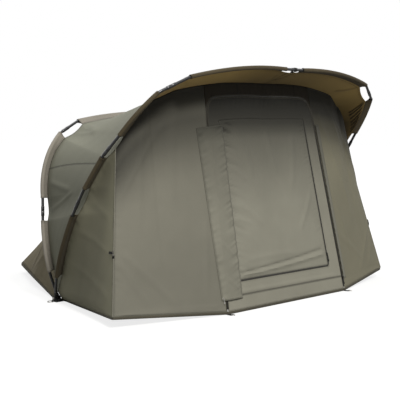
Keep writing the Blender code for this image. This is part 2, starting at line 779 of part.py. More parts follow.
def build_block(side):
    """A pivot block: a base plate, three ears for the bolt and a lug for the peg ring."""
    sign = -1 if side == "left" else 1
    ear_pitch = LUG_THICKNESS + EAR_THICKNESS + 2 * FIT_GAP
    half = ear_pitch + EAR_THICKNESS / 2
    name = "pivot_block_" + side
    centre = Vector((sign * PIVOT_HALF, PIVOT_Y, BASE_PLATE_THICKNESS / 2))
    size = (2 * (half + BASE_PLATE_LIP), BASE_PLATE_LENGTH, BASE_PLATE_THICKNESS)
    piece = box(name, centre, size, "block", bevel=BASE_PLATE_BEVEL)
    axis = Vector((sign * PIVOT_HALF, PIVOT_Y, PIVOT_Z))
    for step in (-1, 0, 1):
        spot = axis + SIDEWAYS * (step * ear_pitch)
        ear = rod("ear", spot, SIDEWAYS, EAR_RADIUS, EAR_THICKNESS, "block")
        low = Vector((spot.x, spot.y, (PIVOT_Z + FIT_GAP) / 2))
        foot = box("ear_foot", low, (EAR_THICKNESS, 2 * EAR_RADIUS, PIVOT_Z - FIT_GAP), "block")
        combine(piece, [ear, foot], "UNION")
    lug_x = sign * ring_axis()
    lug_size = (RING_LUG_LENGTH, RING_LUG_THICKNESS, RING_LUG_HEIGHT)
    lug_centre = (lug_x - sign * BASE_PLATE_LIP / 2, PIVOT_Y, RING_LUG_HEIGHT / 2 + FIT_GAP)
    combine(piece, [box("lug", lug_centre, lug_size, "block")], "UNION")
    eye = rod("eye", (lug_x, PIVOT_Y, RING_AXIS_Z), FORWARD, RING_HOLE, RING_LUG_THICKNESS + CUT_OVERRUN, "block")
    bore = rod("bore", axis, SIDEWAYS, BOLT_RADIUS + FIT_GAP, 2 * half + CUT_OVERRUN, "block")
    combine(piece, [eye, bore], "DIFFERENCE")


def ring_axis():
    """How far the hinge of a peg ring stands from the centre line."""
    half = LUG_THICKNESS + EAR_THICKNESS + 2 * FIT_GAP + EAR_THICKNESS / 2
    return PIVOT_HALF + half + BASE_PLATE_LIP + RING_HOLE + RING_EDGE


def build_bolt(side):
    """The bolt through a pivot block, with its head and nut."""
    half = LUG_THICKNESS + EAR_THICKNESS + 2 * FIT_GAP + EAR_THICKNESS / 2 + FIT_GAP
    sign = -1 if side == "left" else 1
    centre = Vector((sign * PIVOT_HALF, PIVOT_Y, PIVOT_Z))
    stations = [
        (-half - BOLT_HEAD_LENGTH, BOLT_HEAD_RADIUS),
        (-half, BOLT_HEAD_RADIUS),
        (-half, BOLT_RADIUS),
        (half, BOLT_RADIUS),
        (half, BOLT_HEAD_RADIUS),
        (half + BOLT_HEAD_LENGTH, BOLT_HEAD_RADIUS),
    ]
    rows = []
    for along_axis, radius in stations:
        ring = []
        for step in range(ROUND_SIDES):
            angle = 2 * math.pi * step / ROUND_SIDES
            ring.append(centre + Vector((along_axis, radius * math.cos(angle), radius * math.sin(angle))))
        rows.append(ring)
    bm = bmesh.new()
    sweep_into(bm, rows, capped=True)
    place("pivot_bolt_" + side, bm, "steel", PIVOT)


def build_peg_ring(side):
    """A wire ring through the lug of a block, tipped down to lie on the ground."""
    sign = -1 if side == "left" else 1
    hinge = Vector((sign * ring_axis(), PIVOT_Y, RING_AXIS_Z))
    pitch = math.asin((RING_AXIS_Z - RING_WIRE) / (2 * RING_RADIUS))
    reach = Vector((sign * RING_RADIUS * math.cos(pitch), 0.0, -RING_RADIUS * math.sin(pitch)))
    bm = bmesh.new()
    hoop_into(bm, hinge + reach, RING_RADIUS, RING_WIRE, sign * pitch)
    place("peg_ring_" + side, bm, "steel", hinge)


@dataclass
class Canopy:
    """The lines that the cloth is cut to."""

    names: list
    front: list
    rear: list
    rear_wall: list
    infill: list
    infill_shares: list

    def index(self, name):
        """The place of a named station along the lines."""
        return self.names.index(name)

    def roof(self, index, share):
        """A point of the roof: a share of the way from the front seam to the rear seam."""
        return roof_point(self.front[index], self.rear[index], share, self.reach())

    def hung(self):
        """The line just inside the roof that the front wall hangs from."""
        line = []
        last = len(self.names) - 1
        for index, share in enumerate(self.infill_shares):
            before = self.infill[max(index - 1, 0)]
            after = self.infill[min(index + 1, last)]
            back = self.roof(index, share) - self.front[index]
            facing = (after - before).cross(back).normalized()
            hub = Vector((0.0, self.infill[index].y, ROOF_HUB_Z)) - self.infill[index]
            if facing.dot(hub) < 0:
                facing = -facing
            line.append(self.infill[index] + facing * HANG_DROP)
        return line

    def reach(self):
        """The length of the roof along its centre line."""
        crown = len(self.names) // 2
        return (self.rear[crown] - self.front[crown]).length


def roof_point(front, rear, share, reach):
    """A point between two seam points, drawn in toward the hub of the tent by the pull of the cloth."""
    spot = front.lerp(rear, share)
    hub = Vector((0.0, spot.y, ROOF_HUB_Z))
    pull = ROOF_SAG * (rear - front).length / reach
    return spot + (hub - spot).normalized() * (pull * 4 * share * (1 - share))


def make_canopy(front, rear):
    """Works out the seam lines, and where the front wall hangs from the roof."""
    names = front.stations()
    front_line = front.seam(0.0)
    rear_line = rear.seam(SEAM_SPLIT)
    wall_line = rear.seam(-SEAM_SPLIT)
    canopy = Canopy(names, front_line, rear_line, wall_line, [], [])
    start = canopy.index(CREASE_STATION + "left")
    full = canopy.index(INFILL_FULL_STATION)
    for index, (near, far) in enumerate(zip(front_line, rear_line)):
        edge = INFILL_EDGE / (far - near).length
        from_foot = min(index, len(names) - 1 - index)
        ramp = min(max((from_foot - start) / (full - start), 0.0), 1.0)
        share = edge + (INFILL_SHARE - edge) * ramp
        canopy.infill_shares.append(share)
        canopy.infill.append(canopy.roof(index, share))
    return canopy


def build_roof(canopy):
    """Four roof panels: a lower and an upper one at each side."""
    crown = len(canopy.names) // 2
    for side in ("left", "right"):
        split = canopy.index(ROOF_SPLIT + side)
        foot = canopy.index("foot_" + side)
        spans = (("lower", foot, split), ("upper", split, crown))
        for level, start, end in spans:
            step = 1 if end > start else -1
            rows = []
            for index in range(start, end + step, step):
                line = canopy.infill_shares[index]
                shares = [line * cell / ROOF_PEAK_CELLS for cell in range(ROOF_PEAK_CELLS)]
                shares += [line + (1 - line) * cell / ROOF_BACK_CELLS for cell in range(ROOF_BACK_CELLS + 1)]
                rows.append([canopy.roof(index, share) for share in shares])
            low = 0.0 if level == "lower" else SEAM_INSET
            high = SEAM_INSET
            sheet(f"roof_{level}_{side}", inset_rows(rows, low, high, 0.0, 0.0), "roof", PIVOT)


def along(points, share):
    """The point at a share of the length of a line of points."""
    lengths = [(b - a).length for a, b in zip(points, points[1:])]
    left = share * sum(lengths)
    for a, b, length in zip(points, points[1:], lengths):
        if left <= length:
            return a.lerp(b, left / length)
        left -= length
    return points[-1].copy()


def length_shares(points):
    """The share of a line's length at each of its points."""
    total = 0.0
    sums = [0.0]
    for a, b in zip(points, points[1:]):
        total += (b - a).length
        sums.append(total)
    return [value / total for value in sums]


def at_half_width(points, half_width):
    """The point of a line at that distance from the centre line. The line runs inward."""
    for a, b in zip(points, points[1:]):
        if abs(a.x) >= half_width > abs(b.x):
            return a.lerp(b, (abs(a.x) - half_width) / (abs(a.x) - abs(b.x)))
    return points[-1].copy()


@dataclass
class FrontWall:
    """One half of the front wall, as straight lines from its hem up to the roof."""

    sign: int
    top_line: list
    crease_top: Vector
    door_top: float
    window_top: float

    def hem(self, half):
        """A hem point at a distance from the centre line."""
        door = Vector((self.sign * DOOR_HALF_FOOT, DOOR_FOOT_Y, 0.0))
        if half <= DOOR_HALF_FOOT:
            spot = Vector((self.sign * half, DOOR_FOOT_Y, 0.0))
        else:
            share = (half - DOOR_HALF_FOOT) / (CORNER_X - DOOR_HALF_FOOT)
            spot = door.lerp(Vector((self.sign * CORNER_X, CORNER_Y, CORNER_LIFT)), share)
        return spot + UP * (HEM_HEIGHT + SEAM_INSET)

    def top(self, half):
        """The point of the roof above a hem point."""
        if half <= WINDOW_HALF_FOOT:
            width = half * self.window_top / WINDOW_HALF_FOOT
        elif half <= DOOR_HALF_FOOT:
            share = (half - WINDOW_HALF_FOOT) / (DOOR_HALF_FOOT - WINDOW_HALF_FOOT)
            width = self.window_top + (self.door_top - self.window_top) * share
        else:
            share = (half - DOOR_HALF_FOOT) / (CORNER_X - DOOR_HALF_FOOT)
            return along(self.panel_top(), share)
        return at_half_width(self.top_line, width)

    def panel_top(self):
        """The line from the top of the door's edge to the top of the crease."""
        start = at_half_width(self.top_line, self.door_top)
        outer = [point for point in self.top_line if abs(point.x) > self.door_top]
        kept = [point for point in outer if point.z >= self.crease_top.z]
        return [start] + list(reversed(kept))

    def at(self, half, share):
        """A point of the wall: a share of the way up the straight line from a hem point."""
        return self.hem(half).lerp(self.top(half), share)

    def out(self, half, share):
        """The direction square to the wall, to the outside."""
        up = (self.top(half) - self.hem(half)).normalized()
        side = (self.at(half + PROBE, share) - self.at(half - PROBE, share)).normalized()
        facing = side.cross(up).normalized()
        return facing if facing.y < 0 else -facing

    def half_at(self, x, share):
        """The hem distance whose straight line passes a given distance from the centre line."""
        low, high = 0.0, CORNER_X
        for _ in range(PROBE_STEPS):
            middle_half = (low + high) / 2
            if abs(self.at(middle_half, share).x) < abs(x):
                low = middle_half
            else:
                high = middle_half
        return (low + high) / 2


def make_wall(canopy, side):
    """One half of the front wall under a canopy."""
    crown = len(canopy.names) // 2
    sign = -1 if side == "left" else 1
    hung = canopy.hung()
    crease_top = hung[canopy.index(CREASE_STATION + side)]
    if side == "left":
        return FrontWall(sign, hung[: crown + 1], crease_top, LEFT_DOOR_HALF_TOP, LEFT_WINDOW_HALF_TOP)
    line = list(reversed(hung[crown:]))
    return FrontWall(sign, line, crease_top, RIGHT_DOOR_HALF_TOP, RIGHT_WINDOW_HALF_TOP)


def build_front_panel(wall, side):
    """The panel between the door and the crease."""
    top = wall.panel_top()
    shares = length_shares(top)
    rows = []
    for row in range(PANEL_ROWS + 1):
        line = []
        for share, high in zip(shares, top):
            half = DOOR_HALF_FOOT + (CORNER_X - DOOR_HALF_FOOT) * share
            line.append(wall.hem(half).lerp(high, row / PANEL_ROWS))
        rows.append(line)
    sheet("front_panel_" + side, inset_rows(rows, 0.0, 0.0, ZIP_SLIT, SEAM_INSET), "wall")


def build_side_panel(canopy, wall, side):
    """The panel between the crease and the front rib."""
    first = canopy.index("foot_" + side)
    last = canopy.index(CREASE_STATION + side)
    step = 1 if last > first else -1
    hung = canopy.hung()
    start = hem_line()[1 if side == "left" else -2] + UP * (HEM_HEIGHT + SEAM_INSET)
    inner = [start] + [hung[index] for index in range(first, last + step, step)]
    shares = length_shares(inner)
    rows = []
    for share, near in zip(shares, inner):
        lift = min(share, SIDE_TIP_SHARE)
        far = wall.hem(CORNER_X).lerp(wall.crease_top, lift)
        sag_out = Vector((-wall.sign, 1.0, 0.0)).normalized()
        line = []
        for column in range(SIDE_COLUMNS + 1):
            across = column / SIDE_COLUMNS
            sag = SIDE_SAG * 4 * across * (1 - across) * 4 * share * (1 - share)
            line.append(near.lerp(far, across) + sag_out * sag)
        rows.append(line)
    sheet("side_panel_" + side, inset_rows(rows[:-1], 0.0, 0.0, 0.0, CROSS_INSET), "wall")


def door_columns():
    """Where the columns of the door stand: signed shares of the way from the centre to the zip."""
    edge = WINDOW_HALF_FOOT / DOOR_HALF_FOOT
    inner = [edge * column / (WINDOW_COLUMNS // 2) for column in range(WINDOW_COLUMNS // 2 + 1)]
    outer = sorted(share for share, height in DOOR_CORNER_SHARES)
    right = inner + outer
    return [-share for share in reversed(right[1:])] + right


def door_top(share):
    """How high up the wall the door reaches at a signed share of its half width."""
    for corner, height in DOOR_CORNER_SHARES:
        if abs(abs(share) - corner) < SHARE_MATCH:
            return height
    return DOOR_HIGH_SHARE


def wall_point(walls, share, height):
    """A point of the door part of the wall, at a signed share of the door's half width."""
    wall = walls["left" if share < 0 else "right"]
    return wall.at(abs(share) * DOOR_HALF_FOOT, height)


def wall_out(walls, share, height):
    """The direction square to the door part of the wall."""
    wall = walls["left" if share < 0 else "right"]
    return wall.out(max(abs(share) * DOOR_HALF_FOOT, 2 * PROBE), height)


def build_header(walls):
    """The band between the top of the door and the roof."""
    columns = door_columns()
    rows = []
    for row in range(HEADER_ROWS + 1):
        line = []
        for share in columns:
            low = door_top(share)
            line.append(wall_point(walls, share, low + (1 - low) * row / HEADER_ROWS))
        rows.append(line)
    sheet("header", inset_rows(rows, ZIP_SLIT, 0.0, ZIP_SLIT, ZIP_SLIT), "wall")


def build_door(walls):
    """The door round its window, down to the hem."""
    columns = door_columns()
    low_share = WINDOW_LOW_Z / walls["left"].top(0.0).z
    window_rows = [low_share + (WINDOW_HIGH_SHARE - low_share) * row / WINDOW_ROWS for row in range(WINDOW_ROWS + 1)]
    rows = []
    for height in [0.0] + window_rows:
        rows.append([wall_point(walls, share, height) for share in columns])
    rows.append([wall_point(walls, share, door_top(share)) for share in columns])
    first = (len(columns) - 1 - WINDOW_COLUMNS) // 2

    def in_window(row, column):
        return 1 <= row <= WINDOW_ROWS and first <= column < first + WINDOW_COLUMNS

    sheet("door", inset_rows(rows, 0.0, ZIP_SLIT, ZIP_SLIT, ZIP_SLIT), "wall", skip=in_window)
    pane = [row[first: first + WINDOW_COLUMNS + 1] for row in rows[1:-1]]
    outward = wall_out(walls, SHARE_MATCH, MID_SHARE)
    for row_index, row in enumerate(pane):
        for column_index in range(len(row)):
            up = row_index / WINDOW_ROWS
            over = column_index / WINDOW_COLUMNS
            fold = math.sin(math.pi * up) * math.sin(math.pi * over) * WINDOW_BILLOW
            row[column_index] = row[column_index] + outward * fold
    sheet("window", inset_rows(pane, ZIP_SLIT, ZIP_SLIT, ZIP_SLIT, ZIP_SLIT), "wall")


def strip_on_wall(name, walls, spots, width, thickness, finish):
    """A strip on the door part of the wall, through (share, height) spots."""
    path = [wall_point(walls, share, height) for share, height in spots]
    lifts = [wall_out(walls, share, height) for share, height in spots]
    sides = []
    for index, lift in enumerate(lifts):
        before = path[max(index - 1, 0)]
        after = path[min(index + 1, len(path) - 1)]
        sides.append(lift.cross(after - before).normalized())
    return band(name, path, sides, lifts, width, thickness, finish)


def build_zips(walls):
    """The zip round the door and the zip round the window."""
    low = ZIP_START_SHARE
    corner = [(share, height) for share, height in DOOR_CORNER_SHARES]
    rise = [(1.0, low + (corner[0][1] - low) * step / ZIP_STEPS) for step in range(ZIP_STEPS)]
    edge = WINDOW_HALF_FOOT / DOOR_HALF_FOOT
    over = [(share, DOOR_HIGH_SHARE) for share in door_columns() if abs(share) < edge + SHARE_MATCH]
    right = rise + corner
    left = [(-share, height) for share, height in right]
    strip_on_wall("door_zip", walls, left + over + list(reversed(right)), ZIP_WIDTH, ZIP_THICKNESS, "zip")
    low_share = WINDOW_LOW_Z / walls["left"].top(0.0).z
    sides = [(edge, WINDOW_HIGH_SHARE - (WINDOW_HIGH_SHARE - low_share) * step / ZIP_STEPS) for step in range(ZIP_STEPS)]
    foot = [(share, low_share) for share in reversed(door_columns()) if abs(share) < edge + SHARE_MATCH]
    left_side = [(-share, height) for share, height in reversed(sides)]
    strip_on_wall("window_zip", walls, sides + foot + left_side, ZIP_WIDTH, ZIP_THICKNESS, "zip")


def build_slider(name, walls, share, start_height):
    """A zip slider with its pull, on a straight length of zip."""
    spot = wall_point(walls, share, start_height)
    lift = wall_out(walls, share, start_height)
    up = (wall_point(walls, share, MID_SHARE) - spot).normalized()
    side = lift.cross(up).normalized()
    base = BAND_LIFT + ZIP_THICKNESS + RUN_GAP
    outline = [
        (0.0, base),
        (SLIDER_LENGTH, base),
        (SLIDER_LENGTH, base + SLIDER_THICKNESS),
        (-PULL_LENGTH, base + SLIDER_THICKNESS),
        (-PULL_LENGTH, base + SLIDER_THICKNESS - PULL_THICKNESS),
        (0.0, base + SLIDER_THICKNESS - PULL_THICKNESS),
    ]
    rows = []
    for sideways in (-SLIDER_WIDTH / 2, SLIDER_WIDTH / 2):
        rows.append([spot + side * sideways + up * length + lift * height for length, height in outline])
    bm = bmesh.new()
    sweep_into(bm, rows, capped=True)
    place(name, bm, "zip", spot + lift * base)


def build_flaps(walls):
    """The storm flap over the left zip, with its creases, and the narrow one beside the right zip."""
    rows = []
    for row in range(FLAP_ROWS + 1):
        height = FLAP_LOW_SHARE + (FLAP_HIGH_SHARE - FLAP_LOW_SHARE) * row / FLAP_ROWS
        line = []
        for column in range(FLAP_COLUMNS + 1):
            over = column / FLAP_COLUMNS
            outer = LEFT_FLAP_FOOT + (LEFT_FLAP_TOP - LEFT_FLAP_FOOT) * height
            x = outer + (LEFT_FLAP_INNER - outer) * over
            half = walls["left"].half_at(x, height)
            wave = math.sin(2 * math.pi * (FLAP_WAVES * height + over)) * FLAP_WAVE * over
            rise = FLAP_SEAT + FLAP_RISE * math.sin(math.pi * min(over, FLAP_CREST_SHARE)) + wave
            line.append(walls["left"].at(half, height) + walls["left"].out(half, height) * rise)
        rows.append(line)
    sheet("storm_flap_left", rows, "wall")
    rows = []
    for row in range(FLAP_ROWS + 1):
        height = FLAP_LOW_SHARE + (FLAP_HIGH_SHARE - FLAP_LOW_SHARE) * row / FLAP_ROWS
        line = []
        for column in range(RIGHT_FLAP_COLUMNS + 1):
            over = column / RIGHT_FLAP_COLUMNS
            half = DOOR_HALF_FOOT + RIGHT_FLAP_OUTER + (RIGHT_FLAP_INNER - RIGHT_FLAP_OUTER) * over
            rise = FLAP_SEAT + RIGHT_FLAP_RISE * over
            line.append(walls["right"].at(half, height) + walls["right"].out(half, height) * rise)
        rows.append(line)
    sheet("storm_flap_right", rows, "wall")


def hem_line():
    """The foot of the hem from the left block round the front to the right block."""
    inner = PIVOT_HALF - (LUG_THICKNESS + EAR_THICKNESS + 2 * FIT_GAP + EAR_THICKNESS / 2 + BASE_PLATE_LIP)
    near = inner - FIT_GAP - HEM_THICKNESS / 2
    left = [
        Vector((-near, PIVOT_Y, 0.0)),
        Vector((-near, PIVOT_Y - HEM_PIVOT_CLEARANCE, 0.0)),
        Vector((-CORNER_X, CORNER_Y, CORNER_LIFT)),
        Vector((-DOOR_HALF_FOOT, DOOR_FOOT_Y, 0.0)),
    ]
    return left + [Vector((-point.x, point.y, point.z)) for point in reversed(left)]


def rear_hem_line():
    """The foot of the hem from the left block round the back to the right block."""
    near = hem_line()[0]
    left = [
        near,
        Vector((near.x, PIVOT_Y + HEM_PIVOT_CLEARANCE, 0.0)),
        Vector((-BEND_X, BEND_Y, BEND_LIFT)),
        Vector((-REAR_X, REAR_Y, REAR_LIFT)),
    ]
    return left + [Vector((-point.x, point.y, point.z)) for point in reversed(left)]


def build_hem():
    """The bound hem round the whole foot of the tent."""
    path = hem_line() + list(reversed(rear_hem_line()[1:-1]))
    count = len(path)
    rows = []
    for step in range(count + 1):
        here = path[step % count]
        before = path[(step - 1) % count]
        after = path[(step + 1) % count]
        back = (here - before).normalized()
        ahead = (after - here).normalized()
        run = (back + ahead).normalized()
        side = Vector((run.y, -run.x, 0.0)).normalized()
        half = side * (HEM_THICKNESS / 2 / max(side.dot(Vector((ahead.y, -ahead.x, 0.0)).normalized()), MID_SHARE))
        rows.append([here + half, here + half + UP * HEM_HEIGHT, here - half + UP * HEM_HEIGHT, here - half])
    bm = bmesh.new()
    sweep_into(bm, rows, capped=False)
    bmesh.ops.remove_doubles(bm, verts=bm.verts, dist=FIT_GAP / 2)
    place("hem", bm, "wall")


def nearest(values, wanted):
    """The one of some values that lies nearest to a wanted one."""
    return min(values, key=lambda value: abs(value - wanted))


def build_rear_wall(canopy):
    """The wall behind the rear rib, in a left and a right panel."""
    crown = len(canopy.names) // 2
    hem = rear_hem_line()
    for side in ("left", "right"):
        sign = -1 if side == "left" else 1
        line = canopy.rear_wall[: crown + 1] if sign < 0 else list(reversed(canopy.rear_wall[crown:]))
        foot = hem[1:4] if sign < 0 else list(reversed(hem[-4:-1]))
        centre = Vector((0.0, REAR_Y, REAR_LIFT))
        shares = length_shares(line)
        bend = nearest(shares, REAR_HEM_BEND_SHARE)
        corner = nearest(shares, REAR_HEM_CORNER_SHARE)
        rows = []
        for share, high in zip(shares, line):
            if share <= bend:
                low = foot[0].lerp(foot[1], share / bend)
            elif share <= corner:
                low = foot[1].lerp(foot[2], (share - bend) / (corner - bend))
            else:
                low = foot[2].lerp(centre, (share - corner) / (1 - corner))
            low = low + UP * (HEM_HEIGHT + 2 * SEAM_INSET)
            hub = Vector((0.0, 0.0, REAR_HUB_Z))
            row = []
            for step in range(REAR_WALL_ROWS + 1):
                down = step / REAR_WALL_ROWS
                spot = high.lerp(low, down)
                pull = REAR_WALL_SAG * (high - low).length / REAR_Y * 4 * down * (1 - down)
                row.append(spot + (hub - spot).normalized() * pull)
            rows.append(row)
        sheet("rear_wall_" + side, inset_rows(rows, 0.0, SEAM_INSET, 0.0, 0.0), "roof")


def build_toggle(wall, side):
    """A toggle at the crease of the front wall."""
    foot = wall.hem(CORNER_X)
    rise = wall.crease_top - foot
    outward = Vector((wall.sign, TOGGLE_FACING, 0.0)).normalized()
    stand = TOGGLE_RADIUS + TOGGLE_STANDOFF
    centre = foot + rise * TOGGLE_SHARE + outward * stand
    rod("toggle_" + side, centre, rise.normalized(), TOGGLE_RADIUS, TOGGLE_LENGTH, "webbing")


def build_hem_tab(side):
    """A webbing tab with an eye for a peg, at a foot of the door."""
    line = hem_line()
    index = 3 if side == "left" else 4
    corner = line[index]
    before = (corner - line[index - 1]).normalized()
    after = (line[index + 1] - corner).normalized()
    away = before - after
    away.z = 0.0
    away.normalize()
    across = Vector((-away.y, away.x, 0.0)) * (STRAP_WIDTH / 2)
    start = corner + away * (HEM_THICKNESS / 2 + FIT_GAP)
    end = start + away * STRAP_LENGTH
    up = UP * STRAP_THICKNESS
    rows = [[point + across + up, point - across + up, point - across, point + across] for point in (start, end)]
    bm = bmesh.new()
    sweep_into(bm, rows, capped=True)
    piece = place("hem_tab_" + side, bm, "webbing")
    eye = bmesh.new()
    centre = end + away * EYE_RADIUS
    hoop_into(eye, Vector((centre.x, centre.y, EYE_WIRE)), EYE_RADIUS, EYE_WIRE, 0.0)
    combine(piece, [place("eye", eye, "steel")], "UNION")


def main():
    """Builds the tent."""
    clear_scene()
    front = front_rib()
    rear = rear_rib()
    canopy = make_canopy(front, rear)
    walls = {side: make_wall(canopy, side) for side in ("left", "right")}
    for side in ("left", "right"):
        build_block(side)
        build_peg_ring(side)
        build_bolt(side)
        build_foot(front, "front", side)
        build_foot(rear, "rear", side)
        build_front_panel(walls[side], side)
        build_side_panel(canopy, walls[side], side)
        build_toggle(walls[side], side)
        build_hem_tab(side)
    build_front_rib(front)
    build_rear_rib(rear)
    build_roof(canopy)
    build_rear_wall(canopy)
    build_header(walls)
    build_door(walls)
    build_zips(walls)
    low_share = WINDOW_LOW_Z / walls["left"].top(0.0).z
    build_slider("door_slider", walls, 1.0, DOOR_SLIDER_START_SHARE)
    build_slider("window_slider", walls, WINDOW_HALF_FOOT / DOOR_HALF_FOOT, low_share + WINDOW_SLIDER_SHARE)
    build_flaps(walls)
    build_hem()


if __name__ == "__main__":
    main()
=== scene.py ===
"""Looks of a two-rib bivvy tent that stands open: its cloth, poles, zips, flaps, hem and fittings.

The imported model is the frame. Every cloth piece here stands for the plain panel of the frame that it
replaces, in the same place, with the folds, fells and weave that the panel leaves out.

Units are metres. +X is to the right seen from the front, +Y runs to the back and +Z is up.
"""

import json
import logging
import math
from collections.abc import Iterable, Sequence
from dataclasses import dataclass, field
from enum import Enum
from functools import cached_property

import bmesh
import bpy
import numpy as np
from mathutils import Matrix, Vector

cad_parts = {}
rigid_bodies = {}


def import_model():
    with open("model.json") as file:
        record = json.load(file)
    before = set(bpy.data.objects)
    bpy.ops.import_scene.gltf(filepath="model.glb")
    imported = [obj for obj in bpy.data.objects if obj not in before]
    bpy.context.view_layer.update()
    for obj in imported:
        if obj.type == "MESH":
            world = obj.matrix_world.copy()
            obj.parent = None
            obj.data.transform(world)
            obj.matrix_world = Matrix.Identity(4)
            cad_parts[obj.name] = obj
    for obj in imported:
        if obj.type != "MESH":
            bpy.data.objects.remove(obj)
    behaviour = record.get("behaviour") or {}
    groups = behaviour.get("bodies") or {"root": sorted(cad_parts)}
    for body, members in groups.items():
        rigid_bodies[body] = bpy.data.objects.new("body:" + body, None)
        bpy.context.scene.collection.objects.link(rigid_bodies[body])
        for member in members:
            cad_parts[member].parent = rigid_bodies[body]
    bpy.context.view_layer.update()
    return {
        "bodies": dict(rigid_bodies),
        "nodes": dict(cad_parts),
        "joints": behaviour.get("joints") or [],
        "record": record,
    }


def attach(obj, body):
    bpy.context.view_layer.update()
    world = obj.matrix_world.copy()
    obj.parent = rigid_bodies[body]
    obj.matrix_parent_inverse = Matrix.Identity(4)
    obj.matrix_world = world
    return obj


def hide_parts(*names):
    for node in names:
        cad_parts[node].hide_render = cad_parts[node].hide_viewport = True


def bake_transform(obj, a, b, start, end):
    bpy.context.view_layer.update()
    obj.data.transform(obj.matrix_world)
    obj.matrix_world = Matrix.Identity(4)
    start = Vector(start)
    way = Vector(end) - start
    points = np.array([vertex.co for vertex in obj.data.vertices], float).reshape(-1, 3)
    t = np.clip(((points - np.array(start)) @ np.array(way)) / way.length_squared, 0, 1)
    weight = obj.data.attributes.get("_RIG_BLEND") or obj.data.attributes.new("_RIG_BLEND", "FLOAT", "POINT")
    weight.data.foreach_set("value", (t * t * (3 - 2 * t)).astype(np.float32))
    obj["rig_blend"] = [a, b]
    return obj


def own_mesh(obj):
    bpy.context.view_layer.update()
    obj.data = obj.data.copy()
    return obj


Points = np.ndarray
Colour = tuple[float, float, float]

LOG = logging.getLogger("bivvy")
SHARP_ANGLE = math.radians(38)
UP = np.array([0.0, 0.0, 1.0])

# How near two points are merged, how wide the stitched fells and their edges are, and a distance that
# stands for no seam or edge near by.
MERGE = 1e-6
FELL = 0.012
NARROW_FELL = 0.010
FELL_STEP = 0.0015
FAR = 1.0


class Side(Enum):
    """A side of the tent, seen from the front."""

    LEFT = -1
    RIGHT = 1

    @property
    def word(self) -> str:
        """The side as it stands in a node's name."""
        return self.name.lower()


class Body(str, Enum):
    """The bodies of the frame."""

    BASE = "base"
    REAR = "rear_frame"
    FRONT = "front_frame"
    RING_LEFT = "peg_ring_left"
    RING_RIGHT = "peg_ring_right"
    DOOR_SLIDER = "door_slider"
    WINDOW_SLIDER = "window_slider"


class Slot(str, Enum):
    """The material slots of the record."""

    STEEL = "steel"
    TUBE = "tube"
    FRONT_SLEEVE = "front_sleeve_cloth"
    REAR_SLEEVE = "rear_sleeve_cloth"
    ROOF = "roof_cloth"
    WALL = "wall_cloth"
    ZIP = "zip"
    WEBBING = "webbing"


# ---------------------------------------------------------------- points and lines


def unit(vectors: Points) -> Points:
    """Vectors at length one.

    Args:
        vectors: an array whose last axis is a vector.

    Returns:
        The same array, with each vector at length one.
    """
    return vectors / np.maximum(np.linalg.norm(vectors, axis=-1, keepdims=True), 1e-12)


def travelled(line: Points) -> Points:
    """The distance along a line at each of its points."""
    return np.concatenate([[0.0], np.cumsum(np.linalg.norm(np.diff(line, axis=0), axis=1))])


def line_at(line: Points, places: Points, at: Points) -> Points:
    """Points of a line at given places.

    Args:
        line: the line's points.
        places: the place of each of those points, in rising order.
        at: the places that are wanted.

    Returns:
        One point for each wanted place.
    """
    return np.stack([np.interp(at, places, line[:, axis]) for axis in range(line.shape[1])], axis=-1)


def smoothed(line: Points, reach: float) -> Points:
    """A line of evenly spaced points with its kinks eased, and its ends as they were.

    Args:
        line: the points.
        reach: how many points an easing spreads over.

    Returns:
        The new points.
    """
    half = int(3 * reach)
    weights = np.exp(-0.5 * (np.arange(-half, half + 1) / reach) ** 2)
    weights /= weights.sum()
    ends = np.concatenate([2 * line[0] - line[half:0:-1], line, 2 * line[-1] - line[-2 : -half - 2 : -1]])
    return np.stack(
        [np.convolve(ends[:, axis], weights, mode="valid") for axis in range(line.shape[1])], axis=-1
    )


def ease(values: Points) -> Points:
    """Values from 0 to 1 with a soft start and a soft end."""
    held = np.clip(values, 0.0, 1.0)
    return held * held * (3 - 2 * held)


def across_normals(grid: Points) -> Points:
    """The directions square to a grid of points.

    Args:
        grid: points in rows and columns.

    Returns:
        A grid of directions of length one.
    """
    along = np.gradient(grid, axis=1)
    up = np.gradient(grid, axis=0)
    return unit(np.cross(along, up))


def grid_area(grid: Points) -> float:
    """The area of a sheet whose points stand in rows and columns.

    Args:
        grid: the points.

    Returns:
        The area in square metres.
    """
    along = np.diff(grid, axis=1)
    up = np.diff(grid, axis=0)
    return float(np.linalg.norm(np.cross(along[:-1], up[:, :-1]), axis=-1).sum())


def fell_lines(count: int, length: float, fell: float = FELL, step: float = FELL_STEP) -> Points:
    """Shares from 0 to 1 for the lines of a sheet, with a stitched fell at each end.

    Args:
        count: how many even cells lie between the fells.
        length: the sheet's length that way.
        fell: how wide a fell is.
        step: how wide its edge is.

    Returns:
        The shares, one more than the count and two for each fell.
    """
    edge = fell / length
    turn = step / length
    inner = np.linspace(edge + turn, 1 - edge - turn, count + 1)
    return np.concatenate([[0.0, edge * 0.5, edge], inner, [1 - edge, 1 - edge * 0.5, 1.0]])


def curve(at: Points, corners: Iterable[tuple[float, float]]) -> Points:
    """Values read off a bent line that is given by its corners, as (place, value)."""
    return np.interp(at, *zip(*corners))


def bowed(start: Points, run: Points, bow: float, share: float) -> Points:
    """The point at a share of a bowed run in a plane."""
    side = np.array([-run[1], run[0]]) * bow
    return start + run * share + side * (4 * share * (1 - share))


def stepped(last: int, steps: int) -> Points:
    """Station numbers from 0 to the last one, in even steps from each whole number to the next.

    Args:
        last: the last station.
        steps: how many lines stand from one whole number to the next, both counted.

    Returns:
        The station numbers.
    """
    return np.concatenate(
        [np.linspace(low, low + 1, steps)[:-1] for low in range(last)] + [np.array([float(last)])]
    )


def flipped(spot: tuple[float, float], flip: bool) -> tuple[float, float]:
    """A place on a sheet, as shares of its width and height, or the same place on the sheet's other half."""
    return (1 - spot[0], spot[1]) if flip else spot


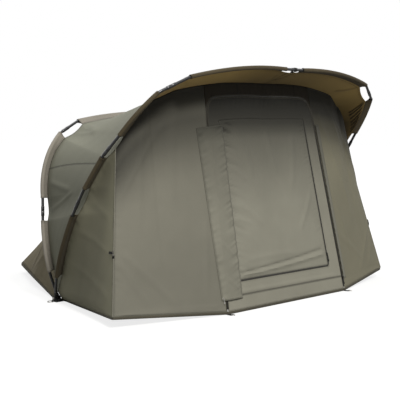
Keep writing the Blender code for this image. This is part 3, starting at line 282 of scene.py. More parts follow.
# ---------------------------------------------------------------- finishes


class NodeTree:
    """A material's nodes, added one by one."""

    def __init__(self, name: str) -> None:
        """Starts a material with its Principled node.

        Args:
            name: the material's name.
        """
        self.material = bpy.data.materials.new(name)
        self.material.use_nodes = True
        self.tree = self.material.node_tree
        self.shader = self.tree.nodes["Principled BSDF"]

    def add(self, kind: str, **values: object) -> bpy.types.Node:
        """Adds a node.

        Args:
            kind: the node's type.
            values: its settings by name, and its inputs by name where it has such an input.

        Returns:
            The node.
        """
        node = self.tree.nodes.new(kind)
        for key, value in values.items():
            if hasattr(node, key):
                setattr(node, key, value)
            else:
                self.feed(node.inputs[key.replace("_", " ")], value)
        return node

    def feed(self, socket: bpy.types.NodeSocket, value: object) -> None:
        """Gives an input a value, or links another node's output to it.

        Args:
            socket: the input.
            value: a number, a colour or an output.
        """
        if isinstance(value, bpy.types.NodeSocket):
            self.link(value, socket)
        else:
            socket.default_value = value

    def link(self, out: bpy.types.NodeSocket, into: bpy.types.NodeSocket) -> None:
        """Joins two sockets."""
        self.tree.links.new(out, into)

    def maths(self, operation: str, first: object, second: object = 0.0) -> bpy.types.NodeSocket:
        """A sum of two values or sockets, and its result.

        Args:
            operation: the kind of sum.
            first: its first value.
            second: its second value.

        Returns:
            The output of the sum.
        """
        node = self.add("ShaderNodeMath", operation=operation)
        for socket, value in zip(node.inputs, (first, second)):
            self.feed(socket, value)
        return node.outputs[0]

    def ramp(self, factor: bpy.types.NodeSocket, low: float, high: float) -> bpy.types.NodeSocket:
        """A factor stretched so that low gives 0 and high gives 1."""
        return self.add("ShaderNodeMapRange", Value=factor, From_Min=low, From_Max=high).outputs["Result"]

    def mix(self, factor: object, first: object, second: object) -> bpy.types.NodeSocket:
        """A colour between two, by a factor.

        Args:
            factor: how far towards the second colour.
            first: the first colour.
            second: the second colour.

        Returns:
            The output of the colour.
        """
        node = self.add("ShaderNodeMix", data_type="RGBA")
        for name, value in (("Factor", factor), ("A", first), ("B", second)):
            socket = next(socket for socket in node.inputs if socket.name == name and socket.enabled)
            self.feed(socket, (*value, 1.0) if isinstance(value, tuple) else value)
        return next(socket for socket in node.outputs if socket.enabled)

    def noise(self, where: bpy.types.NodeSocket, scale: float, detail: float) -> bpy.types.NodeSocket:
        """Cloudy values at a scale."""
        return self.add("ShaderNodeTexNoise", Vector=where, Scale=scale, Detail=detail).outputs["Fac"]

    def bump(
        self, height: bpy.types.NodeSocket, strength: float, distance: float, under: object = None
    ) -> bpy.types.NodeSocket:
        """A surface relief from a height, laid on another relief if there is one.

        Args:
            height: the relief's height.
            strength: how strongly it shows.
            distance: its depth in metres.
            under: the relief under it.

        Returns:
            The output of the relief.
        """
        node = self.add("ShaderNodeBump", Strength=strength, Distance=distance, Height=height)
        if under is not None:
            self.link(under, node.inputs["Normal"])
        return node.outputs["Normal"]

    def scaled(self, colour: Colour, share: float) -> Colour:
        """A colour made lighter or darker."""
        return tuple(min(part * share, 1.0) for part in colour)


@dataclass(frozen=True)
class ClothFinish:
    """Coated woven cloth with a fine relief and soft creases, darker and stitched at its fells."""

    name: str
    colour: Colour
    thread: float = 0.0011
    heather: float = 0.10
    mottle: float = 0.07
    fell_shade: float = 0.72
    stitch_in: float = 0.007
    stitch_row: float = 0.0011
    stitch_length: float = 0.0045
    crease: float = 0.35
    roughness: float = 0.78
    sheen: float = 0.05
    shade_mark: str = "deep"
    seam_half: float = 0.0065
    cloud_scale: float = 2.3
    blotch_scale: float = 9.0
    crease_scale: float = 26.0
    edge_reach: float = 0.020
    groove_half: float = 0.0035
    unfaded_tint: float = 0.05
    fell_tint: float = 0.35
    thread_tint: float = 0.45
    seam_tint: float = 0.22
    stitch_tint: float = 0.30
    weave_depth: float = 0.0002
    crease_depth: float = 0.0010
    stitch_depth: float = -0.0005
    groove_depth: float = 0.0012

    def material(self) -> bpy.types.Material:
        """Makes the material. It reads the piece's own UV map, in metres, and its edge attribute.

        Returns:
            The material.
        """
        made = NodeTree(self.name)
        shader = made.shader
        uv = made.add("ShaderNodeUVMap", uv_map="cloth").outputs["UV"]
        place = made.add("ShaderNodeTexCoord").outputs["Object"]
        edge = made.add("ShaderNodeAttribute", attribute_name="edge").outputs["Fac"]
        seam = made.maths("ABSOLUTE", made.add("ShaderNodeAttribute", attribute_name="seam").outputs["Fac"])
        deep = made.add("ShaderNodeAttribute", attribute_name=self.shade_mark).outputs["Fac"]
        split = made.add("ShaderNodeSeparateXYZ")
        made.link(uv, split.inputs[0])
        turn = math.pi / self.thread
        warp = made.maths("ABSOLUTE", made.maths("SINE", made.maths("MULTIPLY", split.outputs[0], turn)))
        weft = made.maths("ABSOLUTE", made.maths("SINE", made.maths("MULTIPLY", split.outputs[1], turn)))
        weave = made.maths("MULTIPLY", warp, weft)
        fine = made.noise(uv, 0.45 / self.thread, 2.0)
        cloud = made.noise(place, self.cloud_scale, 3.0)
        blotch = made.noise(place, self.blotch_scale, 2.0)
        light = made.scaled(self.colour, 1 + self.mottle)
        dark = made.scaled(self.colour, 1 - self.mottle)
        tone = made.mix(made.ramp(cloud, 0.32, 0.68), dark, light)
        threads = made.maths("MULTIPLY", made.ramp(fine, 0.35, 0.65), self.heather)
        heathered = made.mix(threads, tone, made.scaled(self.colour, self.thread_tint))
        paler = made.maths("MULTIPLY", made.ramp(blotch, 0.55, 0.8), self.mottle)
        softened = made.mix(paler, heathered, made.scaled(self.colour, 1.25))
        near = made.maths("SUBTRACT", 1.0, made.ramp(edge, 0.0, self.edge_reach))
        felled = made.maths("MULTIPLY", near, 1 - self.fell_shade)
        shaded = made.mix(felled, softened, made.scaled(self.colour, self.fell_tint))
        # Painted shade: the deep or under attribute darkens the colour towards a near-black copy of it.
        painted_shade = made.mix(deep, shaded, made.scaled(self.colour, self.unfaded_tint))
        joined = made.maths("SUBTRACT", 1.0, made.ramp(seam, 0.3 * self.seam_half, self.seam_half))
        shaded = made.mix(
            made.maths("MULTIPLY", joined, 0.75), painted_shade, made.scaled(self.colour, self.seam_tint)
        )
        off_row = made.maths(
            "ABSOLUTE", made.maths("SUBTRACT", made.maths("MINIMUM", edge, seam), self.stitch_in)
        )
        row = made.maths("LESS_THAN", off_row, self.stitch_row)
        along = made.maths("ADD", split.outputs[0], split.outputs[1])
        beat = made.maths("SINE", made.maths("MULTIPLY", along, 2 * math.pi / self.stitch_length))
        stitch = made.maths("MULTIPLY", row, made.maths("GREATER_THAN", beat, -0.4))
        sewn = made.mix(
            made.maths("MULTIPLY", stitch, 0.8), shaded, made.scaled(self.colour, self.stitch_tint)
        )
        made.link(sewn, shader.inputs["Base Color"])
        rough = made.maths("ADD", made.maths("MULTIPLY", cloud, 0.16), self.roughness - 0.08)
        made.link(rough, shader.inputs["Roughness"])
        relief = made.bump(weave, 0.25, self.weave_depth)
        relief = made.bump(made.noise(uv, self.crease_scale, 4.0), self.crease, self.crease_depth, relief)
        relief = made.bump(stitch, 0.6, self.stitch_depth, relief)
        relief = made.bump(made.ramp(seam, 0.0, self.groove_half), 0.7, self.groove_depth, relief)
        made.link(relief, shader.inputs["Normal"])
        shader.inputs["Sheen Weight"].default_value = self.sheen
        shader.inputs["Sheen Roughness"].default_value = 0.45
        shader.inputs["Specular IOR Level"].default_value = 0.20
        return made.material


@dataclass(frozen=True)
class MouldedFinish:
    """Moulded, coated or plated stuff with a fine grain and paler rubbed places."""

    name: str
    colour: Colour
    roughness: float
    metallic: float = 0.0
    grain: float = 900.0
    relief: float = 0.25
    wear: float = 0.25
    coat: float = 0.0
    grain_depth: float = 0.0002
    rub_scale: float = 38.0
    grain_tint: float = 1.6
    worn_tint: float = 2.6

    def material(self) -> bpy.types.Material:
        """Makes the material. It reads Object coordinates only.

        Returns:
            The material.
        """
        made = NodeTree(self.name)
        shader = made.shader
        place = made.add("ShaderNodeTexCoord").outputs["Object"]
        grain = made.noise(place, self.grain, 2.0)
        rub = made.noise(place, self.rub_scale, 5.0)
        speck = made.maths("MULTIPLY", made.ramp(grain, 0.4, 0.7), 0.25)
        tone = made.mix(speck, self.colour, made.scaled(self.colour, self.grain_tint))
        worn = made.maths("MULTIPLY", made.ramp(rub, 0.56, 0.70), self.wear)
        made.link(
            made.mix(worn, tone, made.scaled(self.colour, self.worn_tint)), shader.inputs["Base Color"]
        )
        rough = made.maths("ADD", made.maths("MULTIPLY", rub, 0.25), self.roughness - 0.12)
        made.link(rough, shader.inputs["Roughness"])
        made.link(made.bump(grain, self.relief, self.grain_depth), shader.inputs["Normal"])
        shader.inputs["Metallic"].default_value = self.metallic
        shader.inputs["Coat Weight"].default_value = self.coat
        return made.material


@dataclass(frozen=True)
class Palette:
    """The finishes of the tent."""

    roof: ClothFinish = ClothFinish("roof cloth", (0.306, 0.306, 0.234))
    # The lining's golden colour is partly the cloth's own and partly painted light shining through the roof.
    lining: ClothFinish = ClothFinish(
        "roof lining", (0.460, 0.318, 0.114), mottle=0.05, shade_mark="under", seam_half=0.012
    )
    rear: ClothFinish = ClothFinish("rear wall cloth", (0.175, 0.148, 0.086))
    wall: ClothFinish = ClothFinish("front wall cloth", (0.226, 0.217, 0.173))
    # A lighter, yellower copy of the front wall cloth for the right panel: painted light.
    wall_right: ClothFinish = ClothFinish("right front wall cloth", (0.266, 0.249, 0.176))
    door: ClothFinish = ClothFinish("door cloth", (0.345, 0.332, 0.266))
    window: ClothFinish = ClothFinish("window cloth", (0.325, 0.314, 0.252), crease=0.5)
    # The header's near-black colour is painted shade under the peak.
    header: ClothFinish = ClothFinish("header mesh cloth", (0.020, 0.016, 0.010), thread=0.0018, sheen=0.0)
    side: ClothFinish = ClothFinish("side panel cloth", (0.340, 0.325, 0.224))
    flap: ClothFinish = ClothFinish("flap cloth", (0.275, 0.266, 0.212), crease=0.6)
    front_sleeve: ClothFinish = ClothFinish(
        "front sleeve cloth", (0.090, 0.072, 0.042), thread=0.0014, mottle=0.12
    )
    rear_sleeve: ClothFinish = ClothFinish(
        "rear sleeve cloth", (0.335, 0.308, 0.258), thread=0.0014, mottle=0.10
    )
    binding: ClothFinish = ClothFinish(
        "hem binding", (0.120, 0.110, 0.080), thread=0.0016, mottle=0.12, heather=0.2
    )
    webbing: ClothFinish = ClothFinish(
        "webbing", (0.022, 0.021, 0.018), thread=0.0022, heather=0.3, stitch_in=0.003
    )
    tape: ClothFinish = ClothFinish(
        "zip tape", (0.060, 0.055, 0.042), thread=0.0012, heather=0.3, stitch_in=0.003
    )
    coil: MouldedFinish = MouldedFinish("zip coil", (0.018, 0.017, 0.014), 0.42, grain=400.0)
    slider: MouldedFinish = MouldedFinish(
        "painted slider", (0.020, 0.019, 0.016), 0.38, metallic=0.4, grain=900.0, wear=0.5
    )
    toggle: MouldedFinish = MouldedFinish(
        "toggle moulding", (0.070, 0.065, 0.050), 0.45, grain=1100.0, relief=0.4
    )
    tube: MouldedFinish = MouldedFinish(
        "pole coating", (0.016, 0.016, 0.017), 0.30, metallic=0.35, grain=1500.0, wear=0.35, coat=0.6
    )
    moulding: MouldedFinish = MouldedFinish(
        "block moulding", (0.018, 0.018, 0.018), 0.55, grain=1300.0, relief=0.5
    )
    steel: MouldedFinish = MouldedFinish(
        "plated steel", (0.52, 0.51, 0.49), 0.30, metallic=1.0, grain=1700.0, wear=0.1
    )


class Paintbox:
    """Makes each finish once and hands it out."""

    def __init__(self) -> None:
        """Starts empty."""
        self.made: dict[str, bpy.types.Material] = {}

    def get(self, finish: ClothFinish | MouldedFinish) -> bpy.types.Material:
        """The material of a finish.

        Args:
            finish: the finish.

        Returns:
            Its material, made at the first call.
        """
        if finish.name not in self.made:
            self.made[finish.name] = finish.material()
        return self.made[finish.name]


PALETTE = Palette()
PAINTS = Paintbox()


# ---------------------------------------------------------------- making pieces


def finish_piece(
    name: str, bm: bmesh.types.BMesh, finishes: Sequence[ClothFinish | MouldedFinish]
) -> bpy.types.Object:
    """Writes a bmesh to a piece whose object sits at the origin.

    Args:
        name: the piece's name.
        bm: its mesh, which is freed.
        finishes: its finishes in the order of their slots.

    Returns:
        The piece.
    """
    mesh = bpy.data.meshes.new(name)
    bm.to_mesh(mesh)
    bm.free()
    mesh.shade_smooth()
    mesh.set_sharp_from_angle(angle=SHARP_ANGLE)
    piece = bpy.data.objects.new(name, mesh)
    bpy.context.scene.collection.objects.link(piece)
    for finish in finishes:
        mesh.materials.append(PAINTS.get(finish))
    return piece


def place_piece(
    name: str, bm: bmesh.types.BMesh, finishes: Sequence[ClothFinish | MouldedFinish],
    body: Body | None, node: str = ""
) -> bpy.types.Object:
    """Writes a bmesh to a piece, gives it its body and hides the node that it stands for.

    Args:
        name: the piece's name.
        bm: its mesh, which is freed.
        finishes: its finishes in the order of their slots.
        body: the body that it rides on, or None for a piece that the front wall puts on the base body.
        node: the node that it replaces, if any.

    Returns:
        The piece.
    """
    piece = finish_piece(name, bm, finishes)
    if body is not None:
        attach(piece, body.value)
    if node:
        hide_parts(node)
    LOG.info("%s: %d faces", name, len(piece.data.polygons))
    return piece


def thicken(piece: bpy.types.Object, thickness: float) -> bpy.types.SolidifyModifier:
    """Gives a sheet its thickness, half to each side.

    Args:
        piece: the sheet.
        thickness: how thick it is.

    Returns:
        The modifier.
    """
    wall = piece.modifiers.new("cloth", "SOLIDIFY")
    wall.thickness = thickness
    wall.offset = 0.0
    return wall


def weld(
    bm: bmesh.types.BMesh, verts: Iterable[bmesh.types.BMVert] | None = None, dist: float = MERGE
) -> None:
    """Merges the points that lie on one another and turns the faces outward.

    Args:
        bm: the mesh.
        verts: the points that may merge, or None for all of them.
        dist: how far apart they may lie.
    """
    bmesh.ops.remove_doubles(bm, verts=bm.verts if verts is None else verts, dist=dist)
    bmesh.ops.recalc_face_normals(bm, faces=bm.faces)


@dataclass
class Marks:
    """What is known about each point of a cloth grid besides its place.

    edge is the distance to the nearest sewn edge, seam the signed distance to the nearest seam within the
    sheet, deep how far the cloth is darkened, from 0 to 1, mostly by painted shade, and under the same
    painted shade for its lining.
    """

    edge: Points | None = None
    seam: Points | None = None
    deep: Points | None = None
    under: Points | None = None
    plain: tuple[tuple[str, float], ...] = (("edge", 1.0), ("seam", 1.0), ("deep", 0.0), ("under", 0.0))

    def layers(self, bm: bmesh.types.BMesh) -> list[tuple[object, Points | None, float]]:
        """The layers of a bmesh, each with its values and the value where there is none.

        Args:
            bm: the bmesh.

        Returns:
            The layers.
        """
        kept = bm.verts.layers.float
        return [
            (kept.get(name) or kept.new(name), getattr(self, name), value) for name, value in self.plain
        ]


def lay_grid(bm: bmesh.types.BMesh, grid: Points, plan: Points, marks: Marks | None = None) -> None:
    """Lays a grid of cloth through points.

    Args:
        bm: the bmesh that the grid goes into.
        grid: the points in rows and columns.
        plan: the place of each point on the flat cloth, in metres.
        marks: what is known about each point.
    """
    rows, columns = grid.shape[:2]
    flat = bm.loops.layers.uv.get("cloth") or bm.loops.layers.uv.new("cloth")
    for name, _ in Marks.plain:
        if bm.verts.layers.float.get(name) is None:
            bm.verts.layers.float.new(name)
    layers = (marks or Marks()).layers(bm)
    known = set(bm.verts)
    bmesh.ops.create_grid(bm, x_segments=columns - 1, y_segments=rows - 1, size=0.5)
    fresh = [vert for vert in bm.verts if vert not in known]
    place = {}
    for vert in fresh:
        column = round((vert.co.x + 0.5) * (columns - 1))
        row = round((vert.co.y + 0.5) * (rows - 1))
        place[vert] = (row, column)
    for vert, (row, column) in place.items():
        vert.co = Vector(grid[row, column])
        for layer, values, plain in layers:
            vert[layer] = plain if values is None else float(values[row, column])
    for face in {face for vert in fresh for face in vert.link_faces}:
        for loop in face.loops:
            loop[flat].uv = plan[place[loop.vert]]


def turn_out(bm: bmesh.types.BMesh, outward: Points) -> None:
    """Turns the faces of a sheet so that they look to one side.

    Args:
        bm: the sheet.
        outward: the direction that its middle should face.
    """
    bm.normal_update()
    total = sum((face.normal * face.calc_area() for face in bm.faces), Vector())
    if total.dot(Vector(outward)) < 0:
        bmesh.ops.reverse_faces(bm, faces=bm.faces)


def plan_of(grid: Points) -> Points:
    """The flat places of a sheet's points, in metres, measured along its rows and columns.

    Args:
        grid: the points in rows and columns.

    Returns:
        A flat place for each point.
    """
    along = np.zeros(grid.shape[:2])
    up = np.zeros(grid.shape[:2])
    along[:, 1:] = np.cumsum(np.linalg.norm(np.diff(grid, axis=1), axis=-1), axis=1)
    up[1:] = np.cumsum(np.linalg.norm(np.diff(grid, axis=0), axis=-1), axis=0)
    along -= along[:, along.shape[1] // 2][:, None]
    up[:] = up.mean(axis=1)[:, None]
    return np.stack([along, up], axis=-1)


def edge_distance(plan: Points, sewn: str) -> Points:
    """How far each point lies from the nearest sewn edge.

    Args:
        plan: the flat places.
        sewn: any of the letters l, r, b and t, for the left, right, bottom and top edges.

    Returns:
        The distances in metres.
    """
    along, up = plan[..., 0], plan[..., 1]
    far = np.full(along.shape, FAR)
    for letter, distance in (
        ("l", along - along[:, :1]),
        ("r", along[:, -1:] - along),
        ("b", up - up[:1]),
        ("t", up[-1:] - up),
    ):
        if letter in sewn:
            far = np.minimum(far, np.abs(distance))
    return far


@dataclass
class Fold:
    """A soft ridge in the cloth between two places, each given as shares of the sheet's width and height."""

    start: tuple[float, float]
    end: tuple[float, float]
    width: float
    height: float
    bend: float = 0.0
    tail: float = 0.25

    def lift(self, plan: Points) -> Points:
        """How far the cloth stands out at each flat place.

        Args:
            plan: the flat places, in metres.

        Returns:
            The heights in metres.
        """
        start = spot_on(plan, *self.start)
        run = spot_on(plan, *self.end) - start
        length = float(np.hypot(*run))
        ahead = run / length
        side = np.array([-ahead[1], ahead[0]])
        share = ((plan - start) @ ahead) / length
        inside = np.clip(share, 0.0, 1.0)
        off = (plan - start) @ side - self.bend * 4 * inside * (1 - inside)
        past = (share - inside) * length
        fade = ease(inside / self.tail) * ease((1 - inside) / self.tail)
        return self.height * fade * np.exp(-(off**2 + past**2) / self.width**2)


@dataclass
class Pucker:
    """Short gathers along one edge of a sheet."""

    edge: str
    spacing: float
    depth: float
    height: float
    slant: float = 0.0
    phase: float = 0.0

    def lift(self, plan: Points) -> Points:
        """How far the cloth stands out at each flat place.

        Args:
            plan: the flat places, in metres.

        Returns:
            The heights in metres.
        """
        along, up = plan[..., 0], plan[..., 1]
        if self.edge in "lr":
            away = along - along[:, :1] if self.edge == "l" else along[:, -1:] - along
            place = up + self.slant * away
        else:
            away = up - up[:1] if self.edge == "b" else up[-1:] - up
            place = along + self.slant * away
        turn = 2 * math.pi * place / self.spacing
        wave = np.sin(turn + self.phase + 1.4 * np.sin(0.23 * turn + self.phase))
        wave = wave * (0.62 + 0.38 * np.sin(0.17 * turn + 2 * self.phase))
        wave = wave + 0.45 * np.sin(1.63 * turn + 3 * self.phase)
        return self.height * wave * np.exp(-((away / self.depth) ** 2))


def spot_on(plan: Points, over: float, up: float) -> Points:
    """The flat place at shares of a sheet's columns and rows.

    Args:
        plan: the sheet's flat places.
        over: the share across.
        up: the share up.

    Returns:
        The flat place.
    """
    row = up * (plan.shape[0] - 1)
    column = over * (plan.shape[1] - 1)
    low, left = min(int(row), plan.shape[0] - 2), min(int(column), plan.shape[1] - 2)
    part_up, part_over = row - low, column - left
    near = plan[low, left] * (1 - part_over) + plan[low, left + 1] * part_over
    far = plan[low + 1, left] * (1 - part_over) + plan[low + 1, left + 1] * part_over
    return near * (1 - part_up) + far * part_up


def seam_distance(plan: Points, seams: Sequence[tuple[float, float, float, float]]) -> Points:
    """The signed distance to the nearest of some seams.

    Args:
        plan: the flat places.
        seams: each seam as its two ends, in shares of the sheet's width and height. A seam runs up or across.

    Returns:
        The distances in metres, with a sign for the side.
    """
    nearest = np.full(plan.shape[:2], FAR)
    rows, columns = plan.shape[:2]
    for left, low, right, high in seams:
        if low == high:
            off = plan[..., 1] - spot_on(plan, 0.5, low)[1]
        else:
            over = left + (right - left) * np.linspace(0, 1, rows)
            pairs = zip(over * (columns - 1), plan[..., 0])
            line = [np.interp(place, np.arange(columns), row) for place, row in pairs]
            off = plan[..., 0] - np.array(line)[:, None]
        nearest = np.where(np.abs(off) < np.abs(nearest), off, nearest)
    return nearest


def ripple(plan: Points, waves: Iterable[tuple[float, float, float, float]]) -> Points:
    """A gentle unevenness.

    Args:
        plan: the flat places.
        waves: the waves, as (length along, length up, turn, height).

    Returns:
        The heights in metres.
    """
    total = np.zeros(plan.shape[:2])
    for along, up, turn, height in waves:
        total += height * np.sin(2 * math.pi * (plan[..., 0] / along + plan[..., 1] / up) + turn)
    return total


SOFT_WAVES = (
    (0.83, 1.70, 0.4, 0.0011),
    (0.47, -0.90, 2.1, 0.0008),
    (-0.29, 0.61, 4.0, 0.0005),
    (0.19, 0.37, 1.3, 0.00025),
)


@dataclass
class Sheet:
    """A cloth panel: its points in rows and columns, and what is sewn, folded and painted on it."""

    name: str
    grid: Points
    finish: ClothFinish
    slot: Slot
    stands_for: Sequence[str]
    outward: tuple[float, float, float]
    sewn: str = "lrbt"
    folds: Sequence[Fold] = field(default_factory=list)
    waves: Sequence[tuple[float, float, float, float]] = SOFT_WAVES
    under: Points | None = None
    held: str = "stretched"
    thickness: float = 0.0012
    fell: float = FELL
    fell_rise: float = 0.0008
    extra: Points | None = None
    seams: Sequence[tuple[float, float, float, float]] = ()
    deep: Points | None = None
    hole: tuple[int, int, int, int] | None = None
    lining: ClothFinish | None = None
    still: float = 0.0
    open_edges: str = ""
    groove_shade: float = 0.15
    groove_full: float = 0.007
    wave_rise: float = 0.12
    fold_rise: float = 0.014
    extra_rise: float = 0.02

    def make(self) -> bpy.types.Object:
        """Builds the sheet.

        Returns:
            The piece, not yet riding on a body.
        """
        plan = plan_of(self.grid)
        edges = edge_distance(plan, self.sewn)
        every = edge_distance(plan, "".join(letter for letter in "lrbt" if letter not in self.open_edges))
        if self.hole is not None:
            edges = np.minimum(edges, self.from_hole(plan))
            every = np.minimum(every, self.from_hole(plan, topped=True))
        facing = across_normals(self.grid)
        if float((facing.mean(axis=(0, 1)) @ np.array(self.outward))) < 0:
            facing = -facing
        lift = ripple(plan, self.waves) * ease(every / self.wave_rise)
        folded = sum((fold.lift(plan) for fold in self.folds), np.zeros(plan.shape[:2]))
        folded = folded * ease((every - self.still) / self.fold_rise)
        lift += folded
        # Painted shade in the grooves of the folds, added to the sheet's painted shade.
        groove = self.groove_shade * np.clip(-folded / self.groove_full, 0, 1)
        deep, under = (
            np.minimum((0.0 if part is None else part) + groove, 1.0) for part in (self.deep, self.under)
        )
        lift += np.where(edges < self.fell, self.fell_rise, 0.0)
        if self.extra is not None:
            lift += self.extra * ease(every / self.extra_rise)
        grid = self.grid + facing * lift[..., None]
        bm = bmesh.new()
        lay_grid(bm, grid, plan, Marks(edges, seam_distance(plan, self.seams), deep, under))
        if self.hole is not None:
            self.cut_hole(bm)
        for rim in bm.edges:
            rim.smooth = not rim.is_boundary
        turn_out(bm, np.array(self.outward))
        piece = finish_piece(self.name, bm, [self.finish] + ([self.lining] if self.lining else []))
        wall = thicken(piece, self.thickness)
        if self.lining:
            wall.material_offset = 1
        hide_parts(*self.stands_for)
        area = grid_area(self.grid)
        if self.hole is not None:
            left, low, right, high = self.hole
            area -= grid_area(self.grid[low : high + 1, left : right + 1])
        return piece

    def from_hole(self, plan: Points, topped: bool = False) -> Points:
        """How far each point lies from the sides and the foot of the opening, and from its top where topped.

        Args:
            plan: the sheet's flat places.
            topped: whether the top counts.

        Returns:
            The distances in metres.
        """
        left, low, right, high = self.hole
        beside = np.minimum.reduce(
            [np.abs(plan[:, side : side + 1, 0] - plan[..., 0]) for side in (left, right)]
        )
        beside[: low - 1] = beside[high:] = FAR
        for row in (low, high) if topped else (low,):
            level = np.abs(plan[row, :, 1][None] - plan[..., 1])
            level[:, : left - 1] = level[:, right + 1 :] = FAR
            beside = np.minimum(beside, level)
        return beside

    def cut_hole(self, bm: bmesh.types.BMesh) -> None:
        """Takes the cells of the opening out.

        Args:
            bm: the mesh of the sheet.
        """
        bm.verts.index_update()
        left, low, right, high = self.hole
        columns = self.grid.shape[1]
        inside = []
        for face in bm.faces:
            row, column = divmod(min(vert.index for vert in face.verts), columns)
            if low <= row < high and left <= column < right:
                inside.append(face)
        bmesh.ops.delete(bm, geom=inside, context="FACES")


def sweep_into(
    bm: bmesh.types.BMesh, rings: Points, around: bool = True, ends: bool = True, slot: int = 0,
    marks: Marks | None = None
) -> None:
    """Adds a sweep through rings of points to a bmesh.

    Args:
        bm: the bmesh.
        rings: the rings' points, one row to a ring.
        around: whether each ring closes on itself.
        ends: whether its two ends are closed.
        slot: the material of its faces.
        marks: what is known about each point, with the first of each ring again at its end.
    """
    known_faces, known_verts = set(bm.faces), set(bm.verts)
    grid = np.concatenate([rings, rings[:, :1]], axis=1) if around else rings
    lay_grid(bm, grid, plan_of(grid), marks)
    fresh = [vert for vert in bm.verts if vert not in known_verts]
    if around:
        bmesh.ops.remove_doubles(bm, verts=fresh, dist=MERGE)
    faces = [face for face in bm.faces if face not in known_faces]
    if ends:
        rims = [edge for edge in {edge for face in faces for edge in face.edges} if edge.is_boundary]
        faces += bmesh.ops.holes_fill(bm, edges=rims, sides=0)["faces"]
    for face in faces:
        face.material_index = slot
    bmesh.ops.recalc_face_normals(bm, faces=faces)


def rings_along(line: Points, sides: Points, lifts: Points, profile: Points) -> Points:
    """Rings of a profile along a line.

    Args:
        line: the line's points.
        sides: the sideways direction at each point.
        lifts: the direction square to it at each point.
        profile: the profile's points as (sideways, lifted), one profile or one for each point of the line.

    Returns:
        The rings' points.
    """
    if profile.ndim == 2:
        profile = np.broadcast_to(profile, (len(line), *profile.shape))
    return line[:, None] + sides[:, None] * profile[..., :1] + lifts[:, None] * profile[..., 1:]


def arc(radius: float, turn: Points) -> Points:
    """Places on a circle at some angles."""
    return np.stack([radius * np.cos(turn), radius * np.sin(turn)], axis=-1)


def circle(radius: float, sides: int) -> Points:
    """A round profile."""
    return arc(radius, np.arange(sides) * 2 * math.pi / sides)


def tube_frames(line: Points) -> tuple[Points, Points]:
    """Two directions square to a line, the same all along it as far as its bends allow.

    Args:
        line: the line's points.

    Returns:
        The sideways and the lifted directions.
    """
    run = unit(np.gradient(line, axis=0))
    side = np.cross(run[0], UP if abs(run[0][2]) < 0.9 else np.array([1.0, 0.0, 0.0]))
    sides = []
    for ahead in run:
        side = side - ahead * (side @ ahead)
        side = side / np.linalg.norm(side)
        sides.append(side)
    sides = np.array(sides)
    return sides, np.cross(run, sides)


def turned(profile: Points, turn: Points | float) -> Points:
    """A profile of (inward, across) places turned about the rib.

    Args:
        profile: the places.
        turn: the angle from the inside of the arch to its back.

    Returns:
        The turned places.
    """
    inward, across = profile[..., 0], profile[..., 1]
    near, far = np.cos(turn), np.sin(turn)
    return np.stack([inward * near + across * far, across * near - inward * far], axis=-1)


# ---------------------------------------------------------------- the ribs


class Kind(Enum):
    """What a stretch of a rib is."""

    LEG = "leg"
    SLEEVE = "sleeve"
    BARE = "bare"


@dataclass(frozen=True)
class Stretch:
    """One stretch of half a rib, up to its far end in shares of the rib's size."""

    kind: Kind
    name: str
    end: tuple[float, float]
    bow: float = 0.0
    steps: int = 1


